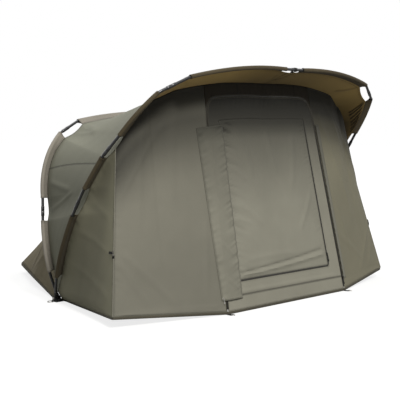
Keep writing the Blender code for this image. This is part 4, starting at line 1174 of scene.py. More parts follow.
@dataclass
class Rib:
    """An arched rib of tube in its own plane, with the places where its sleeves start and end."""

    title: str
    lean: float
    foot_half: float
    half_width: float
    length: float
    sleeve_start: float
    stretches: Sequence[Stretch]
    tilt: float
    tilt_marks: tuple[str, str, str]
    crown_steps: int = 0
    crown_bow: float = 0.0
    tube_radius: float = 0.0105
    seam_depth: float = 0.043
    foot_depth: float = 0.016
    left_share: float = 1.0
    left_end: float = 0.44
    tilt_shares: tuple[float, float, float, float] = (0.0, 0.40, 0.90, 1.0)
    scallop: float = 0.012
    foot_length: float = 0.052
    pivot_z: float = 0.024
    spacing: float = 0.005
    fine: int = 10

    @cached_property
    def traced(self) -> tuple[Points, dict[str, float]]:
        """The rib's evenly spaced points in its plane, and the place of each mark as a share of its length.

        Returns:
            The points and the marks.
        """
        foot = np.array([-self.foot_half, 0.0])
        flip = np.array([-1.0, 1.0])
        line = [foot]
        marks = {}
        here = foot
        for stretch in self.stretches:
            target = np.array([-self.half_width * stretch.end[0], self.length * stretch.end[1]])
            run = target - here
            start = self.sleeve_start if stretch.kind is Kind.LEG else 0.0
            if stretch.kind is Kind.LEG:
                first = bowed(here, run, stretch.bow, start)
                marks["foot_left"] = len(line)
                marks["sleeve_start_left"] = len(line) + 1
                line += [foot + unit(first - foot) * self.foot_length, first]
            if stretch.kind is Kind.BARE:
                marks[stretch.name + "_mid_left"] = len(line)
                marks[stretch.name + "_high_left"] = len(line) + 1
                line += [bowed(here, run, stretch.bow, 0.5), target]
            else:
                count = stretch.steps * self.fine
                for step in range(1, count + 1):
                    if step == count:
                        marks[stretch.name + "_low_left"] = len(line)
                    elif step % self.fine == 0:
                        marks[f"{stretch.name}{step // self.fine}_left"] = len(line)
                    line.append(bowed(here, run, stretch.bow, start + (1 - start) * step / count))
            here = target
        if self.crown_steps:
            total = self.crown_steps * 4
            for step in range(1, total // 2 + 1):
                if step % 4 == 0:
                    marks["crown" if step == total // 2 else f"top{step // 4}_left"] = len(line)
                line.append(bowed(here, here * flip - here, self.crown_bow, step / total))
        else:
            marks["crown_mid"] = len(line)
            line.append(np.array([0.0, here[1]]))
        whole = np.array(line + [point * flip for point in reversed(line[:-1])])
        far = travelled(whole)
        placed = {name: far[index] / far[-1] for name, index in marks.items()}
        for name in [name for name in placed if name.endswith("_left")]:
            placed[name.replace("_left", "_right")] = 1 - placed[name]
        count = int(far[-1] / self.spacing)
        even = line_at(whole, far, np.linspace(0, far[-1], count + 1))
        return smoothed(even, 3.0), placed

    @cached_property
    def stations(self) -> Points:
        """The places of the seam's stations from left to right, as shares of the rib's length."""
        return np.array(sorted(self.traced[1].values()))

    def mark(self, name: str) -> float:
        """The place of a mark."""
        return self.traced[1][name]

    @property
    def total(self) -> float:
        """The rib's length."""
        return float(travelled(self.traced[0])[-1])

    def flat(self, at: Points) -> tuple[Points, Points]:
        """Places in the rib's plane.

        Args:
            at: the places, as shares of the rib's length.

        Returns:
            The points, and the directions from them to the inside of the arch.
        """
        line = self.traced[0]
        shares = np.linspace(0, 1, len(line))
        run = unit(np.gradient(line, axis=0))
        run = line_at(run, shares, at)
        return line_at(line, shares, at), unit(np.stack([run[:, 1], -run[:, 0]], axis=-1))

    def world(self, spots: Points, across: Points | float) -> Points:
        """Points of the model from places in the rib's plane and their distance across it, to the front.

        Args:
            spots: the places in the plane.
            across: how far to the front.

        Returns:
            The points.
        """
        y = spots[..., 1] * math.sin(self.lean) - across * math.cos(self.lean)
        z = self.pivot_z + spots[..., 1] * math.cos(self.lean) + across * math.sin(self.lean)
        return np.stack([spots[..., 0], y, z], axis=-1)

    def ring(self, at: Points, profile: Points) -> Points:
        """Rings round the rib from a profile of (inward, across) places, or from one profile for each ring.

        Args:
            at: shares along the rib.
            profile: the profile or profiles.

        Returns:
            The rings' points.
        """
        points, inward = self.flat(at)
        if profile.ndim == 2:
            profile = np.broadcast_to(profile, (len(at), *profile.shape))
        spots = points[:, None] + inward[:, None] * profile[..., :1]
        return self.world(spots, profile[..., 1])

    @cached_property
    def gaps(self) -> list[tuple[float, float]]:
        """The start and end of each bare stretch.

        Returns:
            Pairs of shares along the rib.
        """
        found = []
        for stretch in self.stretches:
            if stretch.kind is Kind.BARE:
                low, high = (self.mark(f"{stretch.name}_{end}_left") for end in ("low", "high"))
                found += [(low, high), (1 - high, 1 - low)]
        if "crown_low_left" in self.traced[1]:
            found.append((self.mark("crown_low_left"), self.mark("crown_low_right")))
        return found

    def tilt_at(self, at: Points) -> Points:
        """How far the sleeves are drawn out of the rib's plane: most at the crown, not at all at the sides.

        Args:
            at: shares along the rib.

        Returns:
            The angles in radians.
        """
        places = [self.mark(name) for name in self.tilt_marks] + [0.5]
        uneven = curve(at, ((0.0, self.left_share), (self.left_end, self.left_share), (0.5, 1.0)))
        return np.interp(np.minimum(at, 1 - at), places, self.tilt_shares) * self.tilt * uneven

    def seam(self, stations: Points, across: float, drawn: bool = False, scalloped: bool = True) -> Points:
        """The line where the cloth is sewn to the sleeves.

        Args:
            stations: places as station numbers, which need not be whole.
            across: how far to the front of the rib's plane.
            drawn: whether the sleeves are drawn back there as they are in use.
            scalloped: whether the line is cut in at the bare stretches.

        Returns:
            The points of the line.
        """
        at = np.interp(stations, np.arange(len(self.stations)), self.stations)
        points, inward = self.flat(at)
        legs = [self.mark("foot_left"), self.mark("sleeve_start_left")]
        depth = np.interp(np.minimum(at, 1 - at), legs, [self.foot_depth, self.seam_depth])
        for low, high in self.gaps if scalloped else []:
            share = np.clip((at - low) / (high - low), 0, 1)
            depth += self.scallop * np.sin(math.pi * share)
        if drawn:
            turn = self.tilt_at(at)
            across = across - depth * np.sin(turn)
            depth = depth * np.cos(turn)
        return self.world(points + inward * depth[:, None], across)


def make_front_rib() -> Rib:
    """The front rib, with three bare stretches at each side and one at the crown.

    Returns:
        The rib.
    """
    stretches = [
        Stretch(Kind.LEG, "a", (0.970, 0.391), 0.040, 3),
        Stretch(Kind.BARE, "a", (0.995, 0.506)),
        Stretch(Kind.SLEEVE, "b", (1.0, 0.634), 0.006, 4),
        Stretch(Kind.BARE, "b", (0.969, 0.720)),
        Stretch(Kind.SLEEVE, "c", (0.881, 0.8875), 0.050, 3),
        Stretch(Kind.BARE, "c", (0.7326, 0.9504)),
        Stretch(Kind.SLEEVE, "crown", (0.069, 0.9995), 0.040, 5),
    ]
    return Rib(
        "front", lean=math.radians(-38.95), foot_half=0.96605, half_width=1.29, length=1.876,
        sleeve_start=0.29, stretches=stretches, tilt=math.radians(32),
        tilt_marks=("b_high_left", "c_low_left", "c_high_left"), left_share=1.7,
    )


def make_rear_rib() -> Rib:
    """The rear rib, with two bare stretches at each side and one long tube over the top.

    Returns:
        The rib.
    """
    stretches = [
        Stretch(Kind.LEG, "a", (1.0, 0.421), 0.060, 3),
        Stretch(Kind.BARE, "a", (0.988, 0.541)),
        Stretch(Kind.SLEEVE, "b", (0.804, 0.889), 0.120, 4),
        Stretch(Kind.BARE, "b", (0.644, 0.955)),
    ]
    return Rib(
        "rear", lean=math.radians(5.0), foot_half=0.94395, half_width=1.029, length=1.192,
        sleeve_start=0.35, stretches=stretches, tilt=math.radians(-62),
        tilt_marks=("b3_left", "b_low_left", "b_high_left"), crown_steps=22, crown_bow=0.042,
    )


@dataclass
class RibDress:
    """The tubes and the cloth sleeves of a rib."""

    rib: Rib
    body: Body
    sleeve_finish: ClothFinish
    sleeve_slot: Slot
    tube_radius: float = 0.0092
    bore_wall: float = 0.0014
    ferrule_length: float = 0.062
    ferrule_wall: float = 0.0019
    joint_gap: float = 0.0003
    sleeve_ease: float = 0.0016
    sleeve_tail: float = 0.0412
    tail: tuple[tuple[float, float], ...] = (
        (0.42, 0.0062), (0.56, 0.0040), (0.72, 0.0026), (0.86, 0.0019), (1.0, 0.0017),
    )
    gathers: tuple[float, float] = (0.021, 0.034)
    gather_rise: float = 0.00042
    drape_length: float = 0.083
    drape_rise: float = 0.0006
    streaks: float = 6.0
    sleeve_cloth: float = 0.0008
    streak: float = 0.0007
    sides: int = 20
    tube_step: float = 0.015
    lip: float = 0.0016
    lip_drop: float = 0.0006
    crimp_drop: float = 0.0008
    sleeve_step: float = 0.012
    fell_step: float = 0.001
    opening: float = math.radians(62)
    roll: float = 0.0105
    roll_swell: float = 0.045

    def tube(self, name: str, start: float, end: float, ferrule: tuple[float, float] | None) -> None:
        """A length of tube with its swaged collar.

        Args:
            name: the node that it stands for.
            start: where it starts, as a share of the rib's length.
            end: where it ends.
            ferrule: where its collar starts and ends, or None.
        """
        rib, radius = self.rib, self.tube_radius
        span = np.linspace(start, end, max(2, int((end - start) * rib.total / self.tube_step) + 1))
        stations = [(at, radius) for at in span]
        if ferrule is not None:
            low, high = ferrule
            collar = radius + self.ferrule_wall
            lip = self.lip / rib.total
            rim, waist, crimp = collar - self.lip_drop, collar - self.crimp_drop, (low + high) / 2
            stations = [(at, r) for at, r in stations if at < low - lip or at > high + lip]
            stations += [
                (low - lip, radius), (low, rim), (low + lip, collar),
                (crimp - 2 * lip, collar), (crimp - lip, waist), (crimp, waist), (crimp + lip, collar),
                (high - lip, collar), (high, rim), (high + lip, radius),
            ]
            limit_low, limit_high = min(start, low), max(end, high)
            stations = [(at, r) for at, r in stations if limit_low - 1e-9 <= at <= limit_high + 1e-9]
        stations.sort()
        at = np.array([place for place, _ in stations])
        radii = np.array([r for _, r in stations])
        outer = circle(1.0, self.sides)[None] * radii[:, None, None]
        inner = np.broadcast_to(circle(radius - self.bore_wall, self.sides), outer.shape)
        rings = np.concatenate([rib.ring(at, outer), rib.ring(at[::-1], inner)])
        rings = np.concatenate([rings, rings[:1]])
        bm = bmesh.new()
        sweep_into(bm, rings, ends=False)
        weld(bm)
        place_piece(name + "_tube", bm, [PALETTE.tube], self.body, name)

    def sleeve(self, name: str, start: float, end: float, phase: float) -> None:
        """A cloth sleeve round the tube, drawn in to its stitched tail.

        Args:
            name: the node that it stands for.
            start: where it starts, as a share of the rib's length.
            end: where it ends.
            phase: sets its puckers apart from those of the other sleeves.
        """
        rib = self.rib
        length = (end - start) * rib.total
        shares = fell_lines(int(length / self.sleeve_step), length, NARROW_FELL, self.fell_step)
        at = start + (end - start) * shares
        radius = rib.tube_radius + self.sleeve_ease
        turn = np.linspace(self.opening, 2 * math.pi - self.opening, 19)
        tail = np.array(self.tail) * np.array([self.sleeve_tail, -1.0])
        profile = np.concatenate([arc(radius, turn), tail, tail[::-1] * np.array([1.0, -1.0])])
        count = len(profile)
        profiles = np.broadcast_to(profile, (len(at), count, 2)).copy()
        metres = (at * rib.total)[:, None]
        around = np.arange(count)[None] / count
        depth = np.clip(profile[:, 0] / self.sleeve_tail, 0, 1)[None]
        pucker = np.sin(metres / self.gathers[0] * 2 * math.pi + phase + 1.5 * np.sin(metres / 0.17))
        pucker = pucker + 0.7 * np.sin(metres / self.gathers[1] * 2 * math.pi + 2 * phase + 5 * around)
        drape = np.sin(metres / self.drape_length * 2 * math.pi + phase) * 0.5
        wave = (pucker * self.gather_rise + drape * self.drape_rise) * np.sin(math.pi * depth) ** 0.7
        profiles[..., 1] += wave
        sway = self.streaks * around * 2 * math.pi + phase
        streak = np.sin(sway + 1.8 * np.sin(metres / 0.11) + 0.9 * np.sin(metres / 0.043))
        streak = streak * (0.6 + 0.4 * np.sin(metres / 0.19 + phase)) * self.streak
        profiles[..., 0] += streak * np.sin(math.pi * around) ** 2
        near_end = np.minimum(shares, 1 - shares) * length
        swell = np.where(near_end < self.roll, 1 + self.roll_swell, 1.0)[:, None]
        head = np.broadcast_to(profile[:, 0] < radius, (len(at), count))
        profiles = np.where(head[..., None], profiles * swell[..., None], profiles)
        rings = rib.ring(at, turned(profiles, rib.tilt_at(at)[:, None]))
        grid = np.concatenate([rings, rings[:, :1]], axis=1)
        plan = plan_of(grid)
        plan[..., 1] = metres
        edges = np.broadcast_to(near_end[:, None], grid.shape[:2])
        tail_edge = np.abs(np.concatenate([profile[:, 0], profile[:1, 0]]) - self.sleeve_tail)[None]
        edges = np.minimum(edges, tail_edge)
        bm = bmesh.new()
        lay_grid(bm, grid, plan, Marks(edge=edges))
        weld(bm)
        piece = place_piece(name + "_cloth", bm, [self.sleeve_finish], self.body, name)
        thicken(piece, self.sleeve_cloth)

    def joint(self, name: str, share: float, side: str) -> float:
        """Where the tubes meet along a bare stretch."""
        low, high = (self.rib.mark(f"{name}_{end}_{side}") for end in ("low", "high"))
        return low + (high - low) * share

    def dress(self, joints: Sequence[tuple[str, float]], crown: bool) -> None:
        """Makes every tube and sleeve of the rib.

        Args:
            joints: the bare stretches from the foot up, each with the share at which its tubes meet.
            crown: whether two tubes meet at the crown.
        """
        rib, title = self.rib, self.rib.title
        gap = self.joint_gap / rib.total
        half = self.ferrule_length / 2 / rib.total
        for side in ("left", "right"):
            sign = 1 if side == "left" else -1
            low = rib.mark("foot_" + side)
            for number, (name, share) in enumerate(joints, start=1):
                meet = self.joint(name, share, side)
                ends = sorted((low, meet - sign * gap))
                collar = sorted((meet - half, meet + half))
                self.tube(f"{title}_pole_{number}_{side}", ends[0], ends[1], (collar[0], collar[1]))
                low = meet + sign * gap
            if crown:
                ends = sorted((low, 0.5 - sign * gap))
                collar = (0.5 - half, 0.5 + half) if side == "left" else None
                self.tube(f"{title}_pole_{len(joints) + 1}_{side}", ends[0], ends[1], collar)
        if not crown:
            first, last = (self.joint(joints[-1][0], joints[-1][1], side) for side in ("left", "right"))
            self.tube(f"{title}_pole_top", first + gap, last - gap, None)
        spans = [("sleeve_start", "a_low")]
        names = [name for name, _ in joints] + (["crown"] if crown else [])
        spans += [(f"{before}_high", f"{after}_low") for before, after in zip(names, names[1:])]
        for side in ("left", "right"):
            for number, (start, end) in enumerate(spans, start=1):
                ends = sorted((rib.mark(f"{start}_{side}"), rib.mark(f"{end}_{side}")))
                self.sleeve(f"{title}_sleeve_{number}_{side}", ends[0], ends[1], number * 1.7 + len(side))
        if not crown:
            self.sleeve(f"{title}_sleeve_top", rib.mark("b_high_left"), rib.mark("b_high_right"), 0.6)


# ---------------------------------------------------------------- the roof and the rear wall


@dataclass
class Canopy:
    """The roof between the ribs and the wall behind the rear rib."""

    front: Rib
    rear: Rib
    seam_split: float = 0.0009
    roof_sag: float = 0.006
    hub_z: float = 0.40
    infill_edge: float = 0.012
    infill_share: float = 0.165
    crease_station: int = 11
    full_station: int = 15
    split_stations: tuple[float, float] = (9.75, 7.7)
    hang_drop: float = 0.0016
    bend: tuple[float, float, float] = (0.600, 0.620, 0.058)
    back: tuple[float, float, float] = (0.180, 1.228, 0.058)
    hem_height: float = 0.014
    hem_near: float = 0.9221
    hem_clearance: float = 0.050
    rear_hub_z: float = 0.30
    rear_sag: float = 0.075
    rear_bend_share: float = 0.40
    rear_corner_share: float = 0.82
    wall_lean: float = math.radians(88.0)
    roof_steps: int = 15
    peak_rows: int = 25
    back_rows: int = 52
    wall_steps: int = 7
    wall_rows: int = 47
    scallop_reach: float = 0.09
    behind: float = 0.85
    folds_shade: float = 0.70
    seam_unfaded: float = 0.24
    seam_reach: float = 0.03
    lining_plain: float = 0.6
    lining_rise: float = 0.12
    hem_room: float = 0.002
    # Painted shade on the roof's underside under the peak, by station of the front rib: higher is darker.
    lit: tuple[tuple[float, float], ...] = (
        (0, 0.6), (12, 0.4), (17, 0.0), (19.5, 0.05), (21.5, 0.46), (23.5, 0.52), (25, 0.42), (27, 0.22),
        (29.5, 0.12), (31.4, 0.42), (33, 0.82), (36, 0.9), (46, 0.7),
    )

    @property
    def crown(self) -> int:
        """The number of the crown's station."""
        return (len(self.front.stations) - 1) // 2

    @cached_property
    def reach(self) -> float:
        """The length of the roof along its centre line."""
        middle = np.array([float(self.crown)])
        return float(np.linalg.norm(self.rear.seam(middle, self.seam_split) - self.front.seam(middle, 0.0)))

    def infill(self, stations: Points) -> Points:
        """How far back the front wall hangs, as a share of the roof at each station.

        Args:
            stations: places along the front rib.

        Returns:
            The shares.
        """
        near = self.front.seam(stations, 0.0)
        far = self.rear.seam(stations, self.seam_split)
        edge = self.infill_edge / np.linalg.norm(far - near, axis=-1)
        from_foot = np.minimum(stations, 2 * self.crown - stations)
        ramp = np.clip((from_foot - self.crease_station) / (self.full_station - self.crease_station), 0, 1)
        return edge + (self.infill_share - edge) * ramp

    def roof(self, stations: Points, shares: Points) -> Points:
        """Points of the roof.

        Args:
            stations: the station of each column.
            shares: the share of the way from the front seam to the rear one, in rows of columns.

        Returns:
            The points in rows and columns.
        """
        near = self.front.seam(stations, 0.0, scalloped=False)[None]
        far = self.rear.seam(stations, self.seam_split)[None]
        cut = self.front.seam(stations, 0.0)[None] - near
        edge = self.infill_edge / np.linalg.norm(far - near, axis=-1)
        fade = np.clip(1 - (shares - edge) / self.scallop_reach, 0, 1) ** 2
        spot = near + (far - near) * shares[..., None] + cut * fade[..., None]
        hub = spot * np.array([0.0, 1.0, 0.0]) + np.array([0.0, 0.0, self.hub_z])
        pull = self.roof_sag * np.linalg.norm(far - near, axis=-1) / self.reach
        return spot + unit(hub - spot) * (pull * 4 * shares * (1 - shares))[..., None]

    def hung(self, stations: Points) -> Points:
        """The line just inside the roof that the front wall hangs from.

        Args:
            stations: places along the front rib.

        Returns:
            The points.
        """
        line = self.roof(stations, self.infill(stations)[None])[0]
        near = self.front.seam(stations, 0.0)
        facing = unit(np.cross(np.gradient(line, axis=0), line - near))
        hub = line * np.array([0.0, 1.0, 0.0]) + np.array([0.0, 0.0, self.hub_z]) - line
        facing *= np.sign((facing * hub).sum(axis=-1, keepdims=True))
        return line + facing * self.hang_drop

    def turn_shares(self, piece: bpy.types.Object, start: float, end: float) -> None:
        """Gives each point of a sheet its own share of the turn, by its angle about the pivots.

        Args:
            piece: a sheet that already blends from one body to the next.
            start: the angle from upright at which a point stays with the first body.
            end: the angle at which it goes with the second.
        """
        weights = piece.data.attributes["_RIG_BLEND"]
        for vert, weight in zip(piece.data.vertices, weights.data):
            angle = math.atan2(vert.co.y, vert.co.z - self.front.pivot_z)
            weight.value = min(max((start - angle) / (start - end), 0.0), 1.0)

    def drawn_roof(self, stations: Points, shares: Points) -> Points:
        """The roof with its front edge drawn back by the sleeves, which eases out where the front wall hangs.

        Args:
            stations: places along the front rib.
            shares: how far back, one row for each line.

        Returns:
            The points.
        """
        moved = self.roof(stations, shares)
        fades = (1 - shares / self.infill(stations)[None], (shares - self.behind) / (1 - self.behind))
        for rib, across, fade in zip((self.front, self.rear), (0.0, self.seam_split), fades):
            shift = rib.seam(stations, across, drawn=True) - rib.seam(stations, across)
            moved = moved + shift[None] * (np.clip(fade, 0, 1) ** 1.5)[..., None]
        return moved

    def build_roof(self) -> bpy.types.Object:
        """The roof, as one sheet from foot to foot.

        Returns:
            The roof's piece.
        """
        last = 2 * self.crown
        stations = stepped(last, self.roof_steps)
        infill = self.infill(stations)
        peak = np.linspace(0, 1, self.peak_rows)[:, None] * infill[None]
        back = infill[None] + np.linspace(0, 1, self.back_rows)[1:, None] * (1 - infill[None])
        shares = np.concatenate([peak, back])
        grid = self.drawn_roof(stations, shares)
        front, rear = self.split_stations
        split = (front / last, 0.0, rear / last, 1.0)
        seams = [split, (1 - split[0], 0.0, 1 - split[2], 1.0), (0.5, 0.0, 0.5, 1.0)]
        plan = plan_of(grid)
        left, right = (seam_distance(plan, [seam]) for seam in seams[:2])
        reach, plain = self.seam_reach, self.lining_plain
        # The roof is darker beyond its two side seams, in its lower gores.
        deep = self.seam_unfaded * np.maximum(ease(0.5 - left / reach), ease(0.5 + right / reach))
        # Painted shade on the underside: the lit curve under the peak, deeper towards the hung wall, and flat
        # painted shade behind the peak.
        peaked = 1 - ease((shares - infill[None] - 0.02) / 0.05)
        lit = curve(stations, self.lit)[None] + self.lining_rise * ease(shares / infill[None])
        under = plain + (lit - plain) * peaked
        sheet = Sheet(
            "roof_canopy", grid, PALETTE.roof, Slot.ROOF,
            ("roof_lower_left", "roof_lower_right", "roof_upper_left", "roof_upper_right"),
            (0.0, -0.2, 1.0), sewn="bt", folds=self.roof_folds(), lining=PALETTE.lining, seams=seams,
            deep=deep, under=under, groove_shade=self.folds_shade,
        )
        piece = sheet.make()
        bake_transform(piece, Body.REAR.value, Body.FRONT.value, start=(0, 0.10, 1.0), end=(0, -1.0, 1.0))
        self.turn_shares(piece, self.rear.lean, self.front.lean)
        return piece

    def roof_folds(self) -> list[Fold]:
        """The tension folds of the roof, most of them where a bare stretch of a rib starts or ends.

        Returns:
            The folds.
        """
        last = 2.0 * self.crown
        folds = []
        for mirror in (False, True):
            for station, lean, height in (
                (15.2, 1.20, 0.0060), (14.9, 1.20, 0.0080), (14.5, 1.15, 0.0080), (14.1, 1.10, 0.0085),
                (13.7, 1.00, 0.0085), (13.3, 0.90, 0.0085), (12.9, 0.75, 0.0080), (17.1, -0.50, 0.0030),
                (22.3, -0.60, 0.0025),
            ):
                share = 1.30 * float(self.infill(np.array([station]))[0])
                start = flipped((station / last, 0.004), mirror)
                end = flipped(((station - lean) / last, share), mirror)
                bend, depth = (-0.010, height) if mirror else (0.010, 0.5 * height)
                folds.append(Fold(start, end, 0.0080, -depth, bend=bend, tail=0.08))
            for station, up_end, lean, width, height in (
                (5.0, 0.55, 1.2, 0.016, 0.0035), (7.0, 0.62, -0.8, 0.018, 0.0040),
                (11.0, 0.70, 0.9, 0.020, 0.0035), (13.0, 0.66, -1.4, 0.020, 0.0040),
                (18.2, 0.60, 1.5, 0.022, 0.0030),
            ):
                start = flipped((station / last, 0.99), mirror)
                end = flipped(((station + lean) / last, up_end), mirror)
                folds.append(Fold(start, end, width, height, bend=0.01, tail=0.2))
        return folds

    def rear_hem(self, shares: Points) -> Points:
        """The foot of the rear wall on the left, from beside the block to the middle.

        Args:
            shares: how far along it.

        Returns:
            The points.
        """
        corners = np.array(
            [(self.hem_near, self.hem_clearance, 0.0), self.bend, self.back, (0.0, *self.back[1:])]
        )
        places = np.array([0.0, self.rear_bend_share, self.rear_corner_share, 1.0])
        line = line_at(corners * np.array([-1.0, 1.0, 1.0]), places, shares)
        return line + UP * (self.hem_height + self.hem_room)

    def build_rear_wall(self) -> bpy.types.Object:
        """The rear wall, as one sheet from block to block.

        Returns:
            The wall's piece.
        """
        stations = stepped(self.crown, self.wall_steps)
        high = self.rear.seam(stations, -self.seam_split, drawn=True)
        far = travelled(high)
        shares = far / far[-1]
        low = self.rear_hem(shares)
        steps = np.linspace(0, 1, self.wall_rows)
        half = high[None] + (low - high)[None] * steps[:, None, None]
        hub = np.array([0.0, 0.0, self.rear_hub_z])
        drop = np.linalg.norm(low - high, axis=-1)[None] / self.back[1]
        pull = self.rear_sag * drop * 4 * (steps * (1 - steps))[:, None]
        half = half + unit(hub - half) * pull[..., None]
        mirrored = half[:, ::-1][:, 1:] * np.array([-1.0, 1.0, 1.0])
        grid = np.concatenate([half, mirrored], axis=1)[::-1]
        bend = self.rear_bend_share / 2
        seams = [(bend, 0.0, bend, 1.0), (1 - bend, 0.0, 1 - bend, 1.0), (0.5, 0.0, 0.5, 1.0)]
        sheet = Sheet(
            "rear_wall_cloth", grid, PALETTE.rear, Slot.ROOF, ("rear_wall_left", "rear_wall_right"),
            (0.0, 1.0, 0.4), folds=self.rear_folds(), seams=seams,
        )
        piece = sheet.make()
        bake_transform(piece, Body.BASE.value, Body.REAR.value, start=(0, 1.0, 0.1), end=(0, 0.1, 1.0))
        self.turn_shares(piece, self.wall_lean, self.rear.lean)
        return piece

    def rear_folds(self) -> list[Fold]:
        """The tension folds of the rear wall, from its pegged corners and the bare stretches of the rib.

        Returns:
            The folds.
        """
        folds = []
        for mirror in (False, True):
            for start, end, width, height in (
                ((0.20, 0.02), (0.26, 0.62), 0.020, 0.0060), ((0.19, 0.02), (0.12, 0.55), 0.018, 0.0050),
                ((0.41, 0.02), (0.37, 0.60), 0.020, 0.0055), ((0.42, 0.02), (0.47, 0.55), 0.020, 0.0050),
                ((0.11, 0.98), (0.15, 0.60), 0.014, 0.0035), ((0.30, 0.98), (0.27, 0.60), 0.016, 0.0040),
            ):
                folds.append(
                    Fold(flipped(start, mirror), flipped(end, mirror), width, height, bend=0.012, tail=0.22)
                )
        return folds


# ---------------------------------------------------------------- the front wall


@dataclass
class FrontWall:
    """The wall under the peak: its lines run straight from the hem up to the roof."""

    canopy: Canopy
    corner: tuple[float, float, float] = (1.430, -0.965, 0.052)
    door_foot: float = 0.637
    door_y: float = -1.155
    window_foot: float = 0.500
    door_tops: tuple[float, float] = (0.600, 0.478)
    window_tops: tuple[float, float] = (0.512, 0.355)
    window_low_z: float = 0.175
    window_high: float = 0.835
    door_high: float = 0.940
    hem_height: float = 0.014
    seam_inset: float = 0.0010
    slit: float = 0.002
    billow: float = 0.010
    flap_low: float = 0.050
    flap_high: float = 0.815
    corner_shares: tuple[tuple[float, float], ...] = (
        (1.0, 0.860), (0.975, 0.900), (0.930, 0.925), (0.870, 0.937)
    )
    side_grids: dict[Side, Points] = field(default_factory=dict)
    probe: float = 0.004
    trim: float = 0.0025
    panel_cells: tuple[int, int] = (60, 84)
    side_cells: int = 40
    side_sag: float = 0.020
    side_start: float = -0.018
    piping: float = 0.0027
    window_rows: int = 100
    window_columns: int = 90
    flap_out: float = 0.033
    flap_spread: float = 0.042
    flap_in: float = 0.150
    flap_rest: float = 0.0022
    flap_crest: float = 0.0085
    flap_dip: float = 0.0028
    narrow_crest: float = 0.0045
    header_cells: tuple[int, int] = (180, 12)
    foot_rows: int = 22
    over_rows: int = 15
    crease_stop: float = 0.97
    crease_top: float = 0.995
    side_top_shade: float = 0.26
    narrow_out: float = 0.060
    narrow_width: float = 0.048
    flap_shade: float = 0.9
    # Painted shade under the peak: up the door and front panels, and across the side panels.
    door_shades: tuple[tuple[float, float], ...] = (
        (0.34, 0.0), (0.45, 0.07), (0.55, 0.23), (0.65, 0.42), (0.70, 0.51), (0.745, 0.60), (0.78, 0.78),
        (0.816, 0.91), (0.85, 0.96), (0.885, 0.99),
    )
    left_shades: tuple[tuple[float, float], ...] = (
        (0.56, 0.0), (0.62, 0.09), (0.668, 0.20), (0.714, 0.33), (0.76, 0.50), (0.806, 0.63), (0.853, 0.74),
        (0.90, 0.70), (0.935, 0.80), (0.96, 0.90),
    )
    right_shades: tuple[tuple[float, float], ...] = (
        (0.58, 0.0), (0.64, 0.06), (0.72, 0.34), (0.76, 0.57), (0.80, 0.74), (0.843, 0.86), (0.88, 0.99),
    )
    side_shades: tuple[tuple[float, float], ...] = (
        (0.0, 0.22), (0.2, 0.24), (0.4, 0.33), (0.55, 0.33), (0.75, 0.28), (1.0, 0.06)
    )

    @cached_property
    def top_line(self) -> Points:
        """The hung line on the left, from the top of the crease in to the middle.

        Returns:
            The points.
        """
        stations = np.linspace(
            self.canopy.crease_station, 2 * self.canopy.crown - self.canopy.crease_station, 601
        )
        hung = self.canopy.hung(stations)
        return hung[: len(hung) // 2 + 1]

    def hem(self, half: Points) -> Points:
        """Points of the wall's foot, at signed distances from the centre line.

        Args:
            half: the distances.

        Returns:
            The points.
        """
        size = np.abs(half)
        share = np.clip((size - self.door_foot) / (self.corner[0] - self.door_foot), 0, 1)
        y = self.door_y + (self.corner[1] - self.door_y) * share
        z = self.corner[2] * share + self.hem_height + self.seam_inset
        return np.stack([half, y, z], axis=-1)

    def side_top(self, size: Points, side: Side) -> Points:
        """The points of the roof above the foot's points on one side.

        Args:
            size: distances from the centre line along the foot.
            side: the side.

        Returns:
            The points.
        """
        place = 0 if side is Side.LEFT else 1
        door_top, window_top = self.door_tops[place], self.window_tops[place]
        inward = self.top_line[::-1]
        reach = -inward[:, 0]
        width = np.interp(size, [0.0, self.window_foot, self.door_foot], [0.0, window_top, door_top])
        inner = line_at(inward, reach, width)
        outer_line = np.concatenate(
            [line_at(inward, reach, np.array([door_top])), inward[reach > door_top]]
        )
        far = travelled(outer_line)
        share = np.clip((size - self.door_foot) / (self.corner[0] - self.door_foot), 0, 1)
        outer = line_at(outer_line, far / far[-1], share)
        points = np.where((size > self.door_foot)[..., None], outer, inner)
        points[..., 0] = np.abs(points[..., 0]) * side.value
        return points

    def top(self, half: Points) -> Points:
        """The points of the roof above the foot's points."""
        left, right = (self.side_top(np.abs(half), side) for side in Side)
        return np.where((half < 0)[..., None], left, right)

    def at(self, half: Points, height: Points) -> Points:
        """Points of the wall.

        Args:
            half: signed distances from the centre line along the foot.
            height: shares of the way up.

        Returns:
            The points.
        """
        low = self.hem(half)
        return low + (self.top(half) - low) * height[..., None]

    def frames(self, half: Points, height: Points) -> tuple[Points, Points, Points]:
        """Points of the wall with the directions up along it and out of it.

        Args:
            half: signed distances from the centre line along the foot.
            height: shares of the way up.

        Returns:
            The points, the directions up and the directions out.
        """
        points = self.at(half, height)
        up = unit(self.top(half) - self.hem(half))
        side = unit(self.at(half + self.probe, height) - self.at(half - self.probe, height))
        out = unit(np.cross(side, up))
        return points, up, out * np.where(out[..., 1:2] < 0, 1.0, -1.0)

    def spot(self, half: float, height: float) -> tuple[Points, Points, Points, Points]:
        """A point of the wall with its directions.

        Args:
            half: its signed distance from the centre line along the foot.
            height: its share of the way up.

        Returns:
            The point, and the directions sideways, up along the wall and out of it.
        """
        point, up, out = (part[0] for part in self.frames(np.array([half]), np.array([height])))
        return point, unit(np.cross(out, up)), up, out

    def half_at(self, reach: Points, height: float, side: Side) -> Points:
        """Distances along the foot whose lines pass given distances from the centre line at a height.

        Args:
            reach: the distances at the height.
            height: the share of the way up.
            side: the side of the door.

        Returns:
            The distances along the foot.
        """
        known = np.linspace(0.0, self.corner[0], 400)
        spots = self.at(known * side.value, np.full(len(known), height))
        return np.interp(reach, np.abs(spots[:, 0]), known) * side.value

